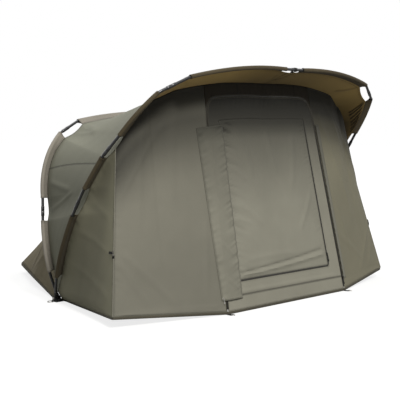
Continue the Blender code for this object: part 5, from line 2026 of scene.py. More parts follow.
    def door_top_at(self, share: Points) -> Points:
        """How high the door reaches, at shares of its half width.

        Args:
            share: the shares of the half width.

        Returns:
            Shares of the way up.
        """
        known = sorted(self.corner_shares)
        sizes = [0.0, self.window_foot / self.door_foot] + [size for size, _ in known]
        heights = [self.door_high, self.door_high] + [height for _, height in known]
        return np.interp(np.abs(share), sizes, heights)

    @property
    def window_low(self) -> float:
        """The share of the way up at which the window starts."""
        return self.window_low_z / float(self.top(np.array([0.0]))[0, 2])

    def squashed(self, piece: bpy.types.Object) -> bpy.types.Object:
        """Puts a piece of the wall on the base body, with a mesh of its own.

        Args:
            piece: the piece.

        Returns:
            The same piece.
        """
        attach(piece, Body.BASE.value)
        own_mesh(piece)
        return piece

    def hang(
        self, node: str, grid: Points, finish: ClothFinish,
        outward: tuple[float, float, float] = (0, -1, 0), **details: object
    ) -> None:
        """Makes a sheet of the wall in the place of a node.

        Args:
            node: the node.
            grid: the sheet's points in rows and columns.
            finish: its finish.
            outward: the side that it shows.
            details: its other fields by name.
        """
        self.squashed(Sheet(node + "_cloth", grid, finish, Slot.WALL, (node,), outward, **details).make())

    def shade_under_peak(self, height: Points) -> Points:
        """How much painted shade darkens the door at shares of the way up: most right under the peak."""
        return curve(height, self.door_shades)

    def panel_shade(self, height: Points, side: Side) -> Points:
        """How much painted shade darkens a panel at shares of the way up, with a painted shadow of the peak
        along the roof.
        """
        return curve(height, self.left_shades if side is Side.LEFT else self.right_shades)

    def build_panels(self) -> None:
        """The panels between the door and the creases."""
        for side in Side:
            lines = fell_lines(self.panel_cells[0], 0.82)
            shares = fell_lines(self.panel_cells[1], 1.25)
            first, last = self.door_foot + self.slit, self.corner[0] - self.seam_inset
            half = (first + (last - first) * lines) * side.value
            height = np.broadcast_to(shares[:, None], (len(shares), len(half)))
            grid = self.at(np.broadcast_to(half, height.shape), height)
            # The right panel's lighter cloth is painted light.
            finish = PALETTE.wall if side is Side.LEFT else PALETTE.wall_right
            self.hang(
                f"front_panel_{side.word}", grid, finish, (side.value * 0.3, -1.0, 0.1),
                folds=self.panel_folds(side), deep=self.panel_shade(height, side),
            )

    def panel_folds(self, side: Side) -> list[Fold | Pucker]:
        """The folds of a panel, whose width runs from the door out to the crease.

        Args:
            side: the side of the door.

        Returns:
            The folds.
        """
        folds = [
            Fold((0.94, 0.03), (0.04, 0.045), 0.010, 0.0040, tail=0.1),
            Fold((0.98, 0.40), (0.42, 0.04), 0.020, 0.0045, bend=0.02),
            Fold((0.98, 0.36), (0.66, 0.05), 0.016, 0.0040, bend=0.015),
            Fold((0.97, 0.62), (0.30, 0.90), 0.024, 0.0050, bend=-0.02),
            Pucker("r", 0.060, 0.050, 0.0016, slant=0.6, phase=1.2),
        ]
        if side is Side.LEFT:
            folds += [
                Fold((0.30, 0.98), (0.42, 0.45), 0.030, 0.0050, bend=0.02),
                Fold((0.60, 0.97), (0.72, 0.40), 0.026, 0.0045, bend=0.02),
                Fold((0.12, 0.50), (0.20, 0.05), 0.018, 0.0035),
            ]
        else:
            folds += [
                Fold((0.08, 0.90), (0.50, 0.30), 0.024, 0.0055, bend=0.02),
                Fold((0.20, 0.97), (0.80, 0.45), 0.022, 0.0050, bend=0.015),
                Fold((0.06, 0.60), (0.35, 0.12), 0.018, 0.0045, bend=0.01),
                Fold((0.05, 0.30), (0.60, 0.10), 0.016, 0.0040, bend=0.01),
                Pucker("l", 0.034, 0.035, 0.0014, slant=-0.5, phase=0.4),
            ]
        return folds

    def build_sides(self) -> None:
        """The panels between the creases and the front rib."""
        canopy = self.canopy
        for side in Side:
            stations = np.linspace(0, canopy.crease_station, 67)
            if side is Side.RIGHT:
                stations = 2 * canopy.crown - stations
            hung = canopy.hung(stations)
            start = np.array(
                [side.value * canopy.hem_near, self.side_start, self.hem_height + self.seam_inset]
            )
            inner = np.concatenate([start[None], hung])
            far = travelled(inner)
            share = far / far[-1]
            shares = fell_lines(self.panel_cells[1], float(far[-1]))
            near = line_at(inner, share, shares)
            foot, head = self.crease(side)
            outer = foot + (head - foot) * np.minimum(shares, self.crease_stop)[:, None]
            lines = fell_lines(self.side_cells, 0.5, NARROW_FELL)
            sag_out = unit(np.array([-side.value, 1.0, 0.0]))
            sag = self.side_sag * 4 * lines[None] * (1 - lines[None]) * 4 * (shares * (1 - shares))[:, None]
            grid = near[:, None] + (outer - near)[:, None] * lines[None, :, None] + sag_out * sag[..., None]
            self.side_grids[side] = grid
            # Painted shade on the side panel: by the share across it, and more towards its top.
            topped = self.side_top_shade * ease((shares[:, None] - 0.62) / 0.3)
            painted_shade = curve(lines, self.side_shades)[None] + topped
            self.build_crease(side)
            self.hang(
                f"side_panel_{side.word}", grid[:-2], PALETTE.side, (side.value * 1.0, -0.6, 0.2),
                folds=self.side_folds(), deep=painted_shade[:-2],
                waves=((0.31, 0.83, 0.4, 0.0010), (0.17, -0.5, 2.1, 0.0006)),
            )

    def crease(self, side: Side) -> tuple[Points, Points]:
        """The foot and the top of the crease on one side."""
        half = np.array([side.value * self.corner[0]])
        return self.hem(half)[0], self.top(half)[0]

    def build_crease(self, side: Side) -> None:
        """The bound seam down the crease between a side panel and a front panel.

        Args:
            side: the side that it is on.
        """
        height = np.linspace(0.0, self.crease_top, 60)
        line = self.at(0 * height + side.value * self.corner[0], height)
        sides, lifts = tube_frames(line)
        bm = bmesh.new()
        sweep_into(bm, rings_along(line, sides, lifts, circle(self.piping, 12)))
        self.squashed(place_piece(f"crease_seam_{side.word}", bm, [PALETTE.wall], None))

    def side_folds(self) -> list[Fold | Pucker]:
        """The folds of a side panel, whose width runs from the rib out to the crease.

        Returns:
            The folds.
        """
        return [
            Fold((0.03, 0.52), (0.92, 0.36), 0.020, 0.0022, bend=0.010),
            Fold((0.03, 0.70), (0.90, 0.56), 0.020, 0.0022, bend=0.010),
            Fold((0.05, 0.30), (0.95, 0.10), 0.026, 0.0024, bend=0.015),
            Fold((0.10, 0.06), (0.90, 0.05), 0.010, 0.0030, tail=0.1),
            Pucker("l", 0.070, 0.060, 0.0018, slant=0.7, phase=2.0),
        ]

    def build_header(self) -> None:
        """The band between the top of the door and the roof."""
        columns = np.linspace(-1, 1, self.header_cells[0] + 1) * (1 - self.slit / self.door_foot)
        rows = fell_lines(self.header_cells[1], 0.10, NARROW_FELL)
        low = self.door_top_at(columns) + self.trim
        height = low[None] + (1 - low[None]) * rows[:, None]
        half = np.broadcast_to(columns * self.door_foot, height.shape)
        self.hang(
            "header", self.at(half, height), PALETTE.header, waves=(),
            seams=((0.27, 0.0, 0.27, 1.0), (0.84, 0.0, 0.84, 1.0)),
            folds=[Pucker("b", 0.055, 0.030, 0.0016), Pucker("t", 0.080, 0.030, 0.0012, phase=1.0)],
        )

    def build_door(self) -> None:
        """The door round its window, down to the hem, and the window in it."""
        low = self.window_low
        edge = self.window_foot / self.door_foot
        strip = fell_lines(8, self.door_foot - self.window_foot) * (1 - edge)
        columns = np.concatenate(
            [-1 + strip, np.linspace(-edge, edge, self.window_columns + 1)[1:-1], edge + strip]
        )
        columns = columns * (1 - self.slit / self.door_foot)
        foot = np.linspace(0, low, self.foot_rows)
        middle = np.linspace(low, self.window_high, self.window_rows + 1)[1:]
        over = np.linspace(0, 1, self.over_rows)[1:]
        top = self.door_top_at(columns) - self.trim
        rows = [np.full(len(columns), value) for value in np.concatenate([foot, middle])]
        rows += [self.window_high + (top - self.window_high) * value for value in over]
        height = np.array(rows)
        grid = self.at(np.broadcast_to(columns * self.door_foot, height.shape), height)
        first, bottom = len(strip) - 1, len(foot) - 1
        last, above = first + self.window_columns, bottom + self.window_rows
        sill = 0.5 * bottom / (len(rows) - 1)
        self.hang(
            "door", grid, PALETTE.door, held="hung", still=0.011,
            folds=[
                Fold((0.03, sill * 1.22), (0.97, sill * 1.18), 0.010, 0.0035, tail=0.1),
                Pucker("t", 0.060, 0.050, 0.0008, slant=0.4, phase=0.7),
                Pucker("r", 0.040, 0.040, 0.0012, slant=0.5, phase=2.2),
            ],
            seams=((0.0, sill, 1.0, sill),), deep=self.shade_under_peak(height),
            hole=(first, bottom, last, above),
        )
        opening = np.s_[bottom : above + 1, first : last + 1]
        self.build_window(grid[opening], height[opening])

    def build_window(self, pane: Points, height: Points) -> None:
        """The window's cloth panel.

        Args:
            pane: the points of its opening.
            height: how far up the wall each of them is.
        """
        pane = pane.copy()
        rows, columns = pane.shape[:2]
        up = np.linspace(0, 1, rows)[:, None]
        over = np.linspace(0, 1, columns)[None]
        extra = np.sin(math.pi * up) * np.sin(math.pi * over) * self.billow
        sides = unit(pane[:, -1] - pane[:, 0])[:, None]
        pane = pane + sides * ((0.5 - over)[..., None] * 2 * self.slit)
        pane[0] += unit(pane[1] - pane[0]) * self.slit
        self.hang(
            "window", pane, PALETTE.window, folds=self.window_folds(), extra=extra,
            deep=self.shade_under_peak(height), still=0.010, sewn="lrb", groove_shade=0.4,
        )

    def window_folds(self) -> list[Fold | Pucker]:
        """The folds of the window's panel, from its left to its right as it is looked at.

        Returns:
            The folds.
        """
        return [
            Fold((0.01, 0.022), (0.99, 0.086), 0.012, 0.0085, bend=-0.006, tail=0.06),
            Fold((0.02, 0.045), (0.985, 0.125), 0.008, -0.0050, bend=-0.008, tail=0.06),
            Fold((0.05, 0.110), (0.70, 0.120), 0.018, 0.0030, bend=0.01),
            Fold((0.10, 0.97), (0.26, 0.60), 0.026, 0.0050, bend=0.02),
            Fold((0.45, 0.98), (0.52, 0.62), 0.030, 0.0040, bend=-0.02),
            Fold((0.80, 0.97), (0.66, 0.50), 0.028, 0.0045, bend=0.02),
            Fold((0.95, 0.55), (0.70, 0.25), 0.022, 0.0045, bend=0.015),
            Fold((0.04, 0.50), (0.32, 0.30), 0.020, 0.0045, bend=0.012),
            Fold((0.03, 0.72), (0.22, 0.60), 0.013, 0.0035),
            Fold((0.03, 0.40), (0.20, 0.33), 0.012, 0.0035),
            Pucker("l", 0.034, 0.060, 0.0026, slant=0.30, phase=0.3),
            Pucker("l", 0.081, 0.110, 0.0020, slant=0.40, phase=1.3),
            Pucker("r", 0.027, 0.050, 0.0022, slant=0.25, phase=1.9),
        ]

    def build_flaps(self) -> None:
        """The wide storm flap over the left zip and the narrow one beside the right zip."""
        heights = self.flap_low + (self.flap_high - self.flap_low) * fell_lines(150, 1.0, NARROW_FELL)
        over = fell_lines(34, 0.18, NARROW_FELL)
        crest = self.flap_crest * np.sin(math.pi * np.minimum(over * 1.15, 0.5))
        rise = self.flap_rest + crest - self.flap_dip * ease((over - 0.72) / 0.28)
        rows = []
        for height in heights:
            outer = self.door_foot + self.flap_out + self.flap_spread * height
            half = self.half_at(outer + (self.door_foot - self.flap_in - outer) * over, height, Side.LEFT)
            points, _, out = self.frames(half, np.full(len(half), height))
            rows.append(points + out * rise[:, None])
        grid = np.array(rows)
        folds = [
            Pucker("r", 0.047, 0.060, 0.0018, slant=0.35, phase=0.9),
            Pucker("r", 0.109, 0.080, 0.0020, slant=0.2, phase=2.4),
            Pucker("l", 0.061, 0.050, 0.0018, slant=-0.3, phase=2.0),
            Pucker("l", 0.143, 0.060, 0.0022, slant=0.5, phase=0.2),
            Fold((0.20, 0.97), (0.75, 0.62), 0.014, 0.0035, bend=0.006),
            Fold((0.30, 0.60), (0.92, 0.42), 0.012, 0.0035),
            Fold((0.15, 0.36), (0.85, 0.24), 0.012, 0.0032),
            Fold((0.25, 0.14), (0.95, 0.05), 0.012, 0.0030),
        ]
        # Painted shade under the peak on both flaps, a little less than on the door.
        shade = np.broadcast_to(self.flap_shade * self.shade_under_peak(heights)[:, None], grid.shape[:2])
        self.hang(
            "storm_flap_left", grid, PALETTE.flap, held="hung", folds=folds,
            waves=((0.21, 0.53, 0.4, 0.0006),), open_edges="r", deep=shade,
        )
        over = fell_lines(10, self.narrow_width, 0.006)
        half = self.door_foot + self.narrow_out - self.narrow_width * over
        height = np.broadcast_to(heights[:, None], (len(heights), len(half)))
        points, _, out = self.frames(np.broadcast_to(half, height.shape), height)
        rise = self.flap_rest + self.narrow_crest * np.sin(0.5 * math.pi * over)
        self.hang(
            "storm_flap_right", points + out * rise[None, :, None], PALETTE.flap, held="hung", waves=(),
            open_edges="r", folds=[Pucker("r", 0.045, 0.030, 0.0012, slant=0.5)],
            deep=self.flap_shade * self.shade_under_peak(height),
        )


# ---------------------------------------------------------------- zips, hem and fittings


def block_into(
    bm: bmesh.types.BMesh, centre: Points, axes: Points, size: tuple[float, float, float], edge: float,
    slot: int = 0
) -> None:
    """Adds a block with rounded edges.

    Args:
        bm: the bmesh that it goes into.
        centre: its middle.
        axes: its three directions, each of length one.
        size: its sizes along them.
        edge: how far its edges are rounded.
        slot: its material.
    """
    known = set(bm.faces)
    made = bmesh.ops.create_cube(bm, size=1.0)["verts"]
    for vert in made:
        vert.co = Vector([part * length for part, length in zip(vert.co, size)])
    edges = list({edge for vert in made for edge in vert.link_edges})
    bmesh.ops.bevel(
        bm, geom=edges, offset=edge, offset_type="OFFSET", segments=3, profile=0.5,
        affect="EDGES", material=-1,
    )
    faces = [face for face in bm.faces if face not in known]
    turn = Matrix([Vector(axis) for axis in axes]).transposed().to_4x4()
    turn.translation = Vector(centre)
    bmesh.ops.transform(bm, matrix=turn, verts=list({vert for face in faces for vert in face.verts}))
    bmesh.ops.recalc_face_normals(bm, faces=faces)
    for face in faces:
        face.material_index = slot


def hoop_into(
    bm: bmesh.types.BMesh, centre: Points, first: Points, second: Points, radius: float, wire: float,
    slot: int = 0
) -> None:
    """Adds a ring of round wire.

    Args:
        bm: the bmesh that it goes into.
        centre: its middle.
        first: a direction in its plane.
        second: the direction square to that one in its plane.
        radius: from its middle to the middle of the wire.
        wire: the wire's radius.
        slot: its material.
    """
    turn = np.linspace(0, 2 * math.pi, 65)
    radial = arc(1.0, turn) @ np.array([first, second])
    lifts = np.broadcast_to(np.cross(first, second), radial.shape)
    rings = rings_along(centre + radial * radius, radial, lifts, circle(wire, 14))
    known = set(bm.verts)
    sweep_into(bm, rings, around=True, ends=False, slot=slot)
    fresh = [vert for vert in bm.verts if vert not in known]
    weld(bm, fresh)


def band_into(
    bm: bmesh.types.BMesh, line: Points, sides: Points, lifts: Points, width: float, thickness: float,
    slot: int = 0
) -> None:
    """Adds a woven band along a line.

    Args:
        bm: the bmesh that it goes into.
        line: the middle of its thickness.
        sides: its sideways direction at each point.
        lifts: the direction square to its face.
        width: its width.
        thickness: its thickness.
        slot: its material.
    """
    half, deep = width / 2, thickness / 2
    profile = np.array(
        [(-half, -deep), (0.0, -deep), (half, -deep), (half, deep), (0.0, deep), (-half, deep)]
    )
    edges = half - np.abs(np.append(profile[:, 0], profile[0, 0]))
    marks = Marks(edge=np.broadcast_to(edges, (len(line), 7)))
    sweep_into(bm, rings_along(line, sides, lifts, profile), slot=slot, marks=marks)


def evened(line: Points, step: float, reach: float) -> Points:
    """A line with its points evenly spaced and its corners rounded.

    Args:
        line: the corners.
        step: the new points' spacing.
        reach: how far a corner is eased.

    Returns:
        The new points.
    """
    far = travelled(line)
    even = line_at(line, far, np.linspace(0, far[-1], int(far[-1] / step) + 1))
    return smoothed(even, reach)


@dataclass
class ZipDress:
    """A zip along the wall: its tape, its teeth and its slider."""

    wall: FrontWall
    door_tape: float = 0.020
    window_tape: float = 0.0105
    slider_room: float = 0.0007
    tape_low: float = 0.0016
    tape_high: float = 0.0023
    tooth: float = 0.0015
    coil_half: float = 0.0030
    coil_high: float = 0.0048
    leg: tuple[float, float] = (0.012, 0.860)
    hidden: float = 0.012
    spacing: float = 0.004
    sunk: float = 0.0003
    low_tooth: float = 0.62
    arch: tuple[tuple[float, float], ...] = (
        (-1.0, 0.0), (-0.85, 0.62), (0.0, 1.0), (0.85, 0.62), (1.0, 0.0)
    )
    door_start: float = 0.050
    window_start: float = 0.045
    blocks: tuple[tuple[tuple[float, float, float], tuple[float, float, float], float, int], ...] = (
        ((0.0, 0.012, 0.0058), (0.0125, 0.023, 0.0015), 0.0006, 0),
        ((0.0, 0.019, 0.0058), (0.0150, 0.009, 0.0013), 0.0006, 0),
        ((-0.0054, 0.012, 0.0040), (0.0014, 0.022, 0.0034), 0.0005, 0),
        ((0.0054, 0.012, 0.0040), (0.0014, 0.022, 0.0034), 0.0005, 0),
        ((0.0, 0.012, 0.0078), (0.0030, 0.015, 0.0030), 0.0011, 0),
        ((0.0, 0.004, 0.0084), (0.0060, 0.0065, 0.0017), 0.0006, 0),
        ((0.0, -0.016, 0.0086), (0.0070, 0.036, 0.0014), 0.0006, 0),
        ((0.0, -0.030, 0.0088), (0.0090, 0.016, 0.0022), 0.0009, 1),
    )

    def lines(self, half: Points, height: Points) -> tuple[Points, Points]:
        """An evenly spaced path on the wall, and the directions out of the wall along it.

        Args:
            half: signed distances along the foot.
            height: shares of the way up.

        Returns:
            The points and the directions.
        """
        points, _, out = self.wall.frames(half, height)
        far = travelled(points)
        line = evened(points, self.spacing, 3.0)
        return line, unit(line_at(out, far / far[-1], np.linspace(0, 1, len(line))))

    def build(self, name: str, half: Points, height: Points, width: float) -> None:
        """The tape and the teeth.

        Args:
            name: the node that they stand for.
            half: the path's signed distances from the centre line along the foot.
            height: its shares of the way up.
            width: how wide the tape is.
        """
        line, lifts = self.lines(half, height)
        sides = unit(np.cross(lifts, np.gradient(line, axis=0)))
        bm = bmesh.new()
        middle = (self.tape_low + self.tape_high) / 2
        band_into(bm, line + lifts * middle, sides, lifts, width, self.tape_high - self.tape_low)
        far = travelled(line)
        places = np.arange(0, far[-1], self.tooth / 2)
        fine, outs, across = (line_at(values, far, places) for values in (line, lifts, sides))
        arch = np.array(self.arch) * np.array([self.coil_half, self.coil_high - self.tape_high])
        tall = np.where(np.arange(len(places)) % 2, 1.0, self.low_tooth)
        profile = np.broadcast_to(arch, (len(places), *arch.shape)).copy()
        profile[..., 1] = profile[..., 1] * tall[:, None] + self.tape_high - self.sunk
        sweep_into(bm, rings_along(fine, across, outs, profile), slot=1)
        self.wall.squashed(
            place_piece(name + "_run", bm, [PALETTE.tape, PALETTE.coil], None, name)
        )

    def build_door_zip(self) -> None:
        """The zip up the left of the door, over its top and down its right."""
        wall = self.wall
        edge = wall.window_foot / wall.door_foot
        sizes, rises = (np.array(part) for part in zip(*wall.corner_shares))
        leg, over = np.linspace(*self.leg, 60), np.linspace(-edge, edge, 60)
        share = np.concatenate([0 * leg - 1, -sizes, over, sizes[::-1], 0 * leg + 1])
        height = np.concatenate([leg, rises, 0 * over + wall.door_high, rises[::-1], leg[::-1]])
        self.build("door_zip", share * wall.door_foot, height, self.door_tape)

    def build_window_zip(self) -> None:
        """The zip down the right of the window, along its foot and up its left."""
        wall = self.wall
        down = np.linspace(wall.window_high, wall.window_low, 50)
        along = np.linspace(wall.window_foot, -wall.window_foot, 60)[1:-1]
        rise = np.linspace(wall.window_low, wall.flap_high - self.hidden, 50)
        half = np.concatenate([0 * down + wall.window_foot, along, 0 * rise - wall.window_foot])
        height = np.concatenate([down, 0 * along + wall.window_low, rise])
        self.build("window_zip", half, height, self.window_tape)

    def build_slider(self, name: str, body: Body, half: float, start: float) -> None:
        """A slider with its bridge and pull.

        Args:
            name: the node that it stands for.
            body: the body that it rides on.
            half: how far it runs from the centre line, along the foot.
            start: how far up the wall it starts.
        """
        spot, side, up, out = self.wall.spot(half, start)
        axes = np.array([side, up, out])
        bm = bmesh.new()
        for place, size, edge, slot in self.blocks:
            block_into(bm, spot + (np.array(place) + UP * self.slider_room) @ axes, axes, size, edge, slot)
        place_piece(name + "_body", bm, [PALETTE.slider, PALETTE.webbing], body, name)


@dataclass
class HemDress:
    """The bound hem round the foot, and the webbing tabs on it."""

    wall: FrontWall
    thickness: float = 0.005
    tab_width: float = 0.026
    tab_length: float = 0.034
    tab_thickness: float = 0.0010
    tab_gap: float = 0.0004
    tab_upper: tuple[tuple[float, float], ...] = ((0.0, 0.0032), (0.016, 0.0034), (0.030, 0.0040))
    tab_lower: tuple[tuple[float, float], ...] = ((0.030, 0.0008), (0.0, 0.0008))
    tab_loop: tuple[float, float] = (0.0032, 0.0034)
    eye_radius: float = 0.010
    eye_wire: float = 0.0020
    eye_z: float = 0.0040
    binding: float = 0.020
    spacing: float = 0.010
    half_profile: tuple[tuple[float, float], ...] = (
        (0.0022, 0.0006), (0.0027, 0.0030), (0.0026, 0.0075), (0.0027, 0.0130), (0.0019, 0.0166),
    )

    def corners(self) -> Points:
        """The corners of the hem's foot, from the left block round the front to the right and back.

        Returns:
            The corners in order.
        """
        wall, canopy = self.wall, self.wall.canopy
        near, clear = canopy.hem_near, canopy.hem_clearance
        flip = np.array([-1.0, 1.0, 1.0])
        front = np.array([(near, -clear, 0.0), wall.corner, (wall.door_foot, wall.door_y, 0.0)])
        back = np.array([(near, clear, 0.0), canopy.bend, canopy.back])
        return np.concatenate([front * flip, front[::-1], back, back[::-1] * flip])

    def build(self) -> None:
        """The hem: a rolled binding with a row of stitches."""
        corners = self.corners()
        start = (corners[:1] + corners[-1:]) / 2
        line = evened(np.concatenate([start, corners, start]), self.spacing, 0.9)
        line[-1] = line[0]
        run = np.gradient(line, axis=0)
        run[0] = run[-1] = line[1] - line[-2]
        sides = unit(np.stack([run[:, 1], -run[:, 0], np.zeros(len(line))], axis=-1))
        lifts = np.broadcast_to(UP, sides.shape)
        half = self.half_profile
        profile = np.array([(0.0, 0.0002), *((-over, up) for over, up in half), (0.0, 0.0174), *half[::-1]])
        up = np.append(profile[:, 1], profile[0, 1])
        marks = Marks(edge=np.broadcast_to(up, (len(line), 13)))
        bm = bmesh.new()
        sweep_into(bm, rings_along(line, sides, lifts, profile), ends=False, marks=marks)
        weld(bm, dist=10 * MERGE)
        piece = place_piece("hem_binding", bm, [PALETTE.binding], Body.BASE, "hem")

    def build_tab(self, side: Side) -> None:
        """A webbing tab folded round a steel eye, at a foot of the door.

        Args:
            side: the side of the door.
        """
        line = self.corners()
        place = 2 if side is Side.LEFT else 3
        corner = line[place]
        before, after = unit(corner - line[place - 1]), unit(line[place + 1] - corner)
        away = before - after
        away[2] = 0.0
        away = unit(away)
        across = np.array([-away[1], away[0], 0.0])
        start = corner + away * (self.thickness / 2 + self.tab_gap)
        turn = np.linspace(0.5, -0.5, 13) * math.pi
        away_by, up_by = self.tab_loop
        loop = zip(self.tab_length + away_by * np.cos(turn), self.eye_z + up_by * np.sin(turn))
        places = [*self.tab_upper, *loop, *self.tab_lower]
        points = np.array([start + away * far + UP * high for far, high in places])
        run = unit(np.gradient(points, axis=0))
        sides = np.broadcast_to(across, points.shape)
        bm = bmesh.new()
        band_into(bm, points, sides, unit(np.cross(sides, run)), self.tab_width, self.tab_thickness)
        centre = start + away * (self.tab_length + self.eye_radius) + UP * self.eye_z
        hoop_into(bm, centre, away, across, self.eye_radius, self.eye_wire, 1)
        node = f"hem_tab_{side.word}"
        place_piece(node + "_strap", bm, [PALETTE.webbing, PALETTE.steel], Body.BASE, node)


@dataclass
class Fittings:
    """The toggles, the peg rings and the moulded and metal pieces at the feet of the ribs."""

    wall: FrontWall
    toggle_share: float = 0.37
    toggle_facing: float = -0.25
    ring_axis: float = 0.9894
    ring_axis_z: float = 0.0075
    ring_radius: float = 0.019
    ring_wire: float = 0.0024
    ring_rest: float = 0.0025
    strap_width: float = 0.014
    strap_thickness: float = 0.0012
    strap_ends: tuple[float, float] = (0.006, 0.060)
    strap_rise: float = 0.0032
    loop_wire: float = 0.0011
    crown_cloth: float = 0.0010
    hook_place: tuple[float, float] = (-0.6615, 0.0610)
    hook_bend: float = 0.0045
    hook_length: float = 0.030
    hook_rise: float = 0.0080
    hook_wire: float = 0.0013
    half_toggle: tuple[tuple[float, float], ...] = (
        (0.0014, -0.0170), (0.0034, -0.0164), (0.0047, -0.0148), (0.0050, -0.0124),
        (0.0048, -0.0070), (0.0038, -0.0034),
    )
    toggle_out: float = 0.0070
    loop_radius: float = 0.0041
    strand_out: float = 0.0042
    strand_length: float = 0.024
    strand_lean: float = 0.26
    patch_back: float = 0.0046
    patch_ends: tuple[float, float] = (0.030, 0.012)
    eyelet_rise: float = 0.0058
    eyelet_radius: float = 0.0052
    eyelet_wire: float = 0.0014
    hook_start: float = 0.004
    crown_open: float = math.radians(58)
    crown_radius: float = 0.0122
    crown_half: float = 0.012
    crown_tails: tuple[tuple[float, float], ...] = ((0.050, 0.0016), (0.034, 0.0046))

    def build_toggle(self, side: Side) -> None:
        """A toggle turned with a waist, held at its crease by a cord loop.

        Args:
            side: the side that it is on.
        """
        wall = self.wall
        foot, head = wall.crease(side)
        up = unit(head - foot)
        outward = unit(np.array([side.value, self.toggle_facing, 0.0]))
        seat = foot + (head - foot) * self.toggle_share
        middle = seat + outward * self.toggle_out
        across = unit(np.cross(up, outward))
        facing = np.cross(across, up)
        half = self.half_toggle
        profile = [*half, (0.0033, 0.0), *((radius, -along) for radius, along in reversed(half))]
        wheel = circle(1.0, 24) @ np.array([across, facing])
        rings = np.array([middle + up * along + wheel * radius for radius, along in profile])
        bm = bmesh.new()
        sweep_into(bm, rings)
        hoop_into(bm, middle, across, facing, self.loop_radius, self.loop_wire, 1)
        run = np.linspace(0.0, self.strand_length, 9)[:, None]
        strand = middle + facing * self.strand_out - up * run - outward * run * self.strand_lean
        sweep_into(bm, rings_along(strand, *tube_frames(strand), circle(self.loop_wire, 10)), slot=1)
        patch = middle - outward * self.patch_back - up * np.linspace(*self.patch_ends, 4)[:, None]
        sides, lifts = (np.broadcast_to(way, patch.shape) for way in (across, facing))
        band_into(bm, patch, sides, lifts, self.strap_width, self.strap_thickness, 1)
        grid = wall.side_grids[side]
        row = int(np.argmin(np.linalg.norm(grid[:, -1] - seat, axis=-1)))
        strap, lifts = grid[row, ::-1][:8], across_normals(grid)[row, ::-1][:8]
        lifts = lifts * np.sign(lifts @ np.array([side.value, -0.5, 0.0]))[:, None]
        strap = line_at(strap, travelled(strap), np.linspace(*self.strap_ends, 8)) + lifts * self.strap_rise
        sides = np.cross(lifts, unit(np.gradient(strap, axis=0)))
        band_into(bm, strap, sides, lifts, self.strap_width, self.strap_thickness, 1)
        node = f"toggle_{side.word}"
        wall.squashed(
            place_piece(node + "_turned", bm, [PALETTE.toggle, PALETTE.webbing], None, node)
        )

    def build_ring(self, side: Side, body: Body) -> None:
        """A steel peg ring through the lug of its block.

        Args:
            side: the side that it is on.
            body: the body that it moves with.
        """
        tip = math.asin((self.ring_axis_z - self.ring_rest) / (2 * self.ring_radius))
        hinge = np.array([side.value * self.ring_axis, 0.0, self.ring_axis_z])
        reach = np.array([side.value * math.cos(tip), 0.0, -math.sin(tip)])
        bm = bmesh.new()
        centre = hinge + reach * self.ring_radius
        hoop_into(bm, centre, reach, np.array([0.0, 1.0, 0.0]), self.ring_radius, self.ring_wire)
        place_piece(
            f"peg_ring_{side.word}_wire", bm, [PALETTE.steel], body, f"peg_ring_{side.word}"
        )

    def build_flap_hook(self) -> None:
        """The eyelet at the foot of the wide storm flap, with its small hook."""
        spot, side, up, out = self.wall.spot(*self.hook_place)
        bm = bmesh.new()
        hoop_into(bm, spot + out * self.eyelet_rise, side, up, self.eyelet_radius, self.eyelet_wire)
        turn = np.linspace(0, 1.25 * math.pi, 16)[1:]
        shank = np.linspace(self.hook_start, self.hook_length, 6)
        lifts = np.concatenate([shank * 0.0, self.hook_bend * (1 - np.cos(turn))])
        drops = np.concatenate([shank, self.hook_length + self.hook_bend * np.sin(turn)])
        hook = spot + out * (self.hook_rise + lifts)[:, None] - up * drops[:, None]
        sweep_into(bm, rings_along(hook, *tube_frames(hook), circle(self.hook_wire, 12)))
        self.wall.squashed(place_piece("flap_hook", bm, [PALETTE.steel], None))

    def build_crown_strap(self, rib: Rib) -> None:
        """The strap that holds the bare crown of the front rib, sewn to the edge of the roof.

        Args:
            rib: the front rib.
        """
        turn = np.linspace(self.crown_open, 2 * math.pi - self.crown_open, 21)
        tails = np.array(self.crown_tails)
        profile = np.concatenate([tails, arc(self.crown_radius, turn), tails[::-1] * np.array([1.0, -1.0])])
        columns = np.linspace(-self.crown_half, self.crown_half, 5)
        leans = 0.5 * (profile[:, 0] - profile[:, 0].min())
        spots = turned(profile, float(rib.tilt_at(np.array([0.5]))[0]))
        at = 0.5 + (columns + leans[:, None]) / rib.total
        grid = np.array([rib.ring(row, spot[None])[:, 0] for row, spot in zip(at, spots)])
        plan = plan_of(grid)
        bm = bmesh.new()
        lay_grid(bm, grid, plan, Marks(edge=edge_distance(plan, "lr")))
        piece = place_piece("crown_strap", bm, [PALETTE.webbing], Body.FRONT)
        thicken(piece, self.crown_cloth)

    def paint_kept(self, frame: dict[str, object]) -> None:
        """Gives the kept moulded and metal nodes their finishes.
        """
        for side in Side:
            for kind in ("pivot_block", "pivot_bolt", "front_foot", "rear_foot"):
                finish = PALETTE.steel if kind == "pivot_bolt" else PALETTE.moulding
                for place in frame["nodes"][f"{kind}_{side.word}"].material_slots:
                    place.material = PAINTS.get(finish)
        LOG.info("blocks, bolts and feet painted")


# ---------------------------------------------------------------- camera, light and floor


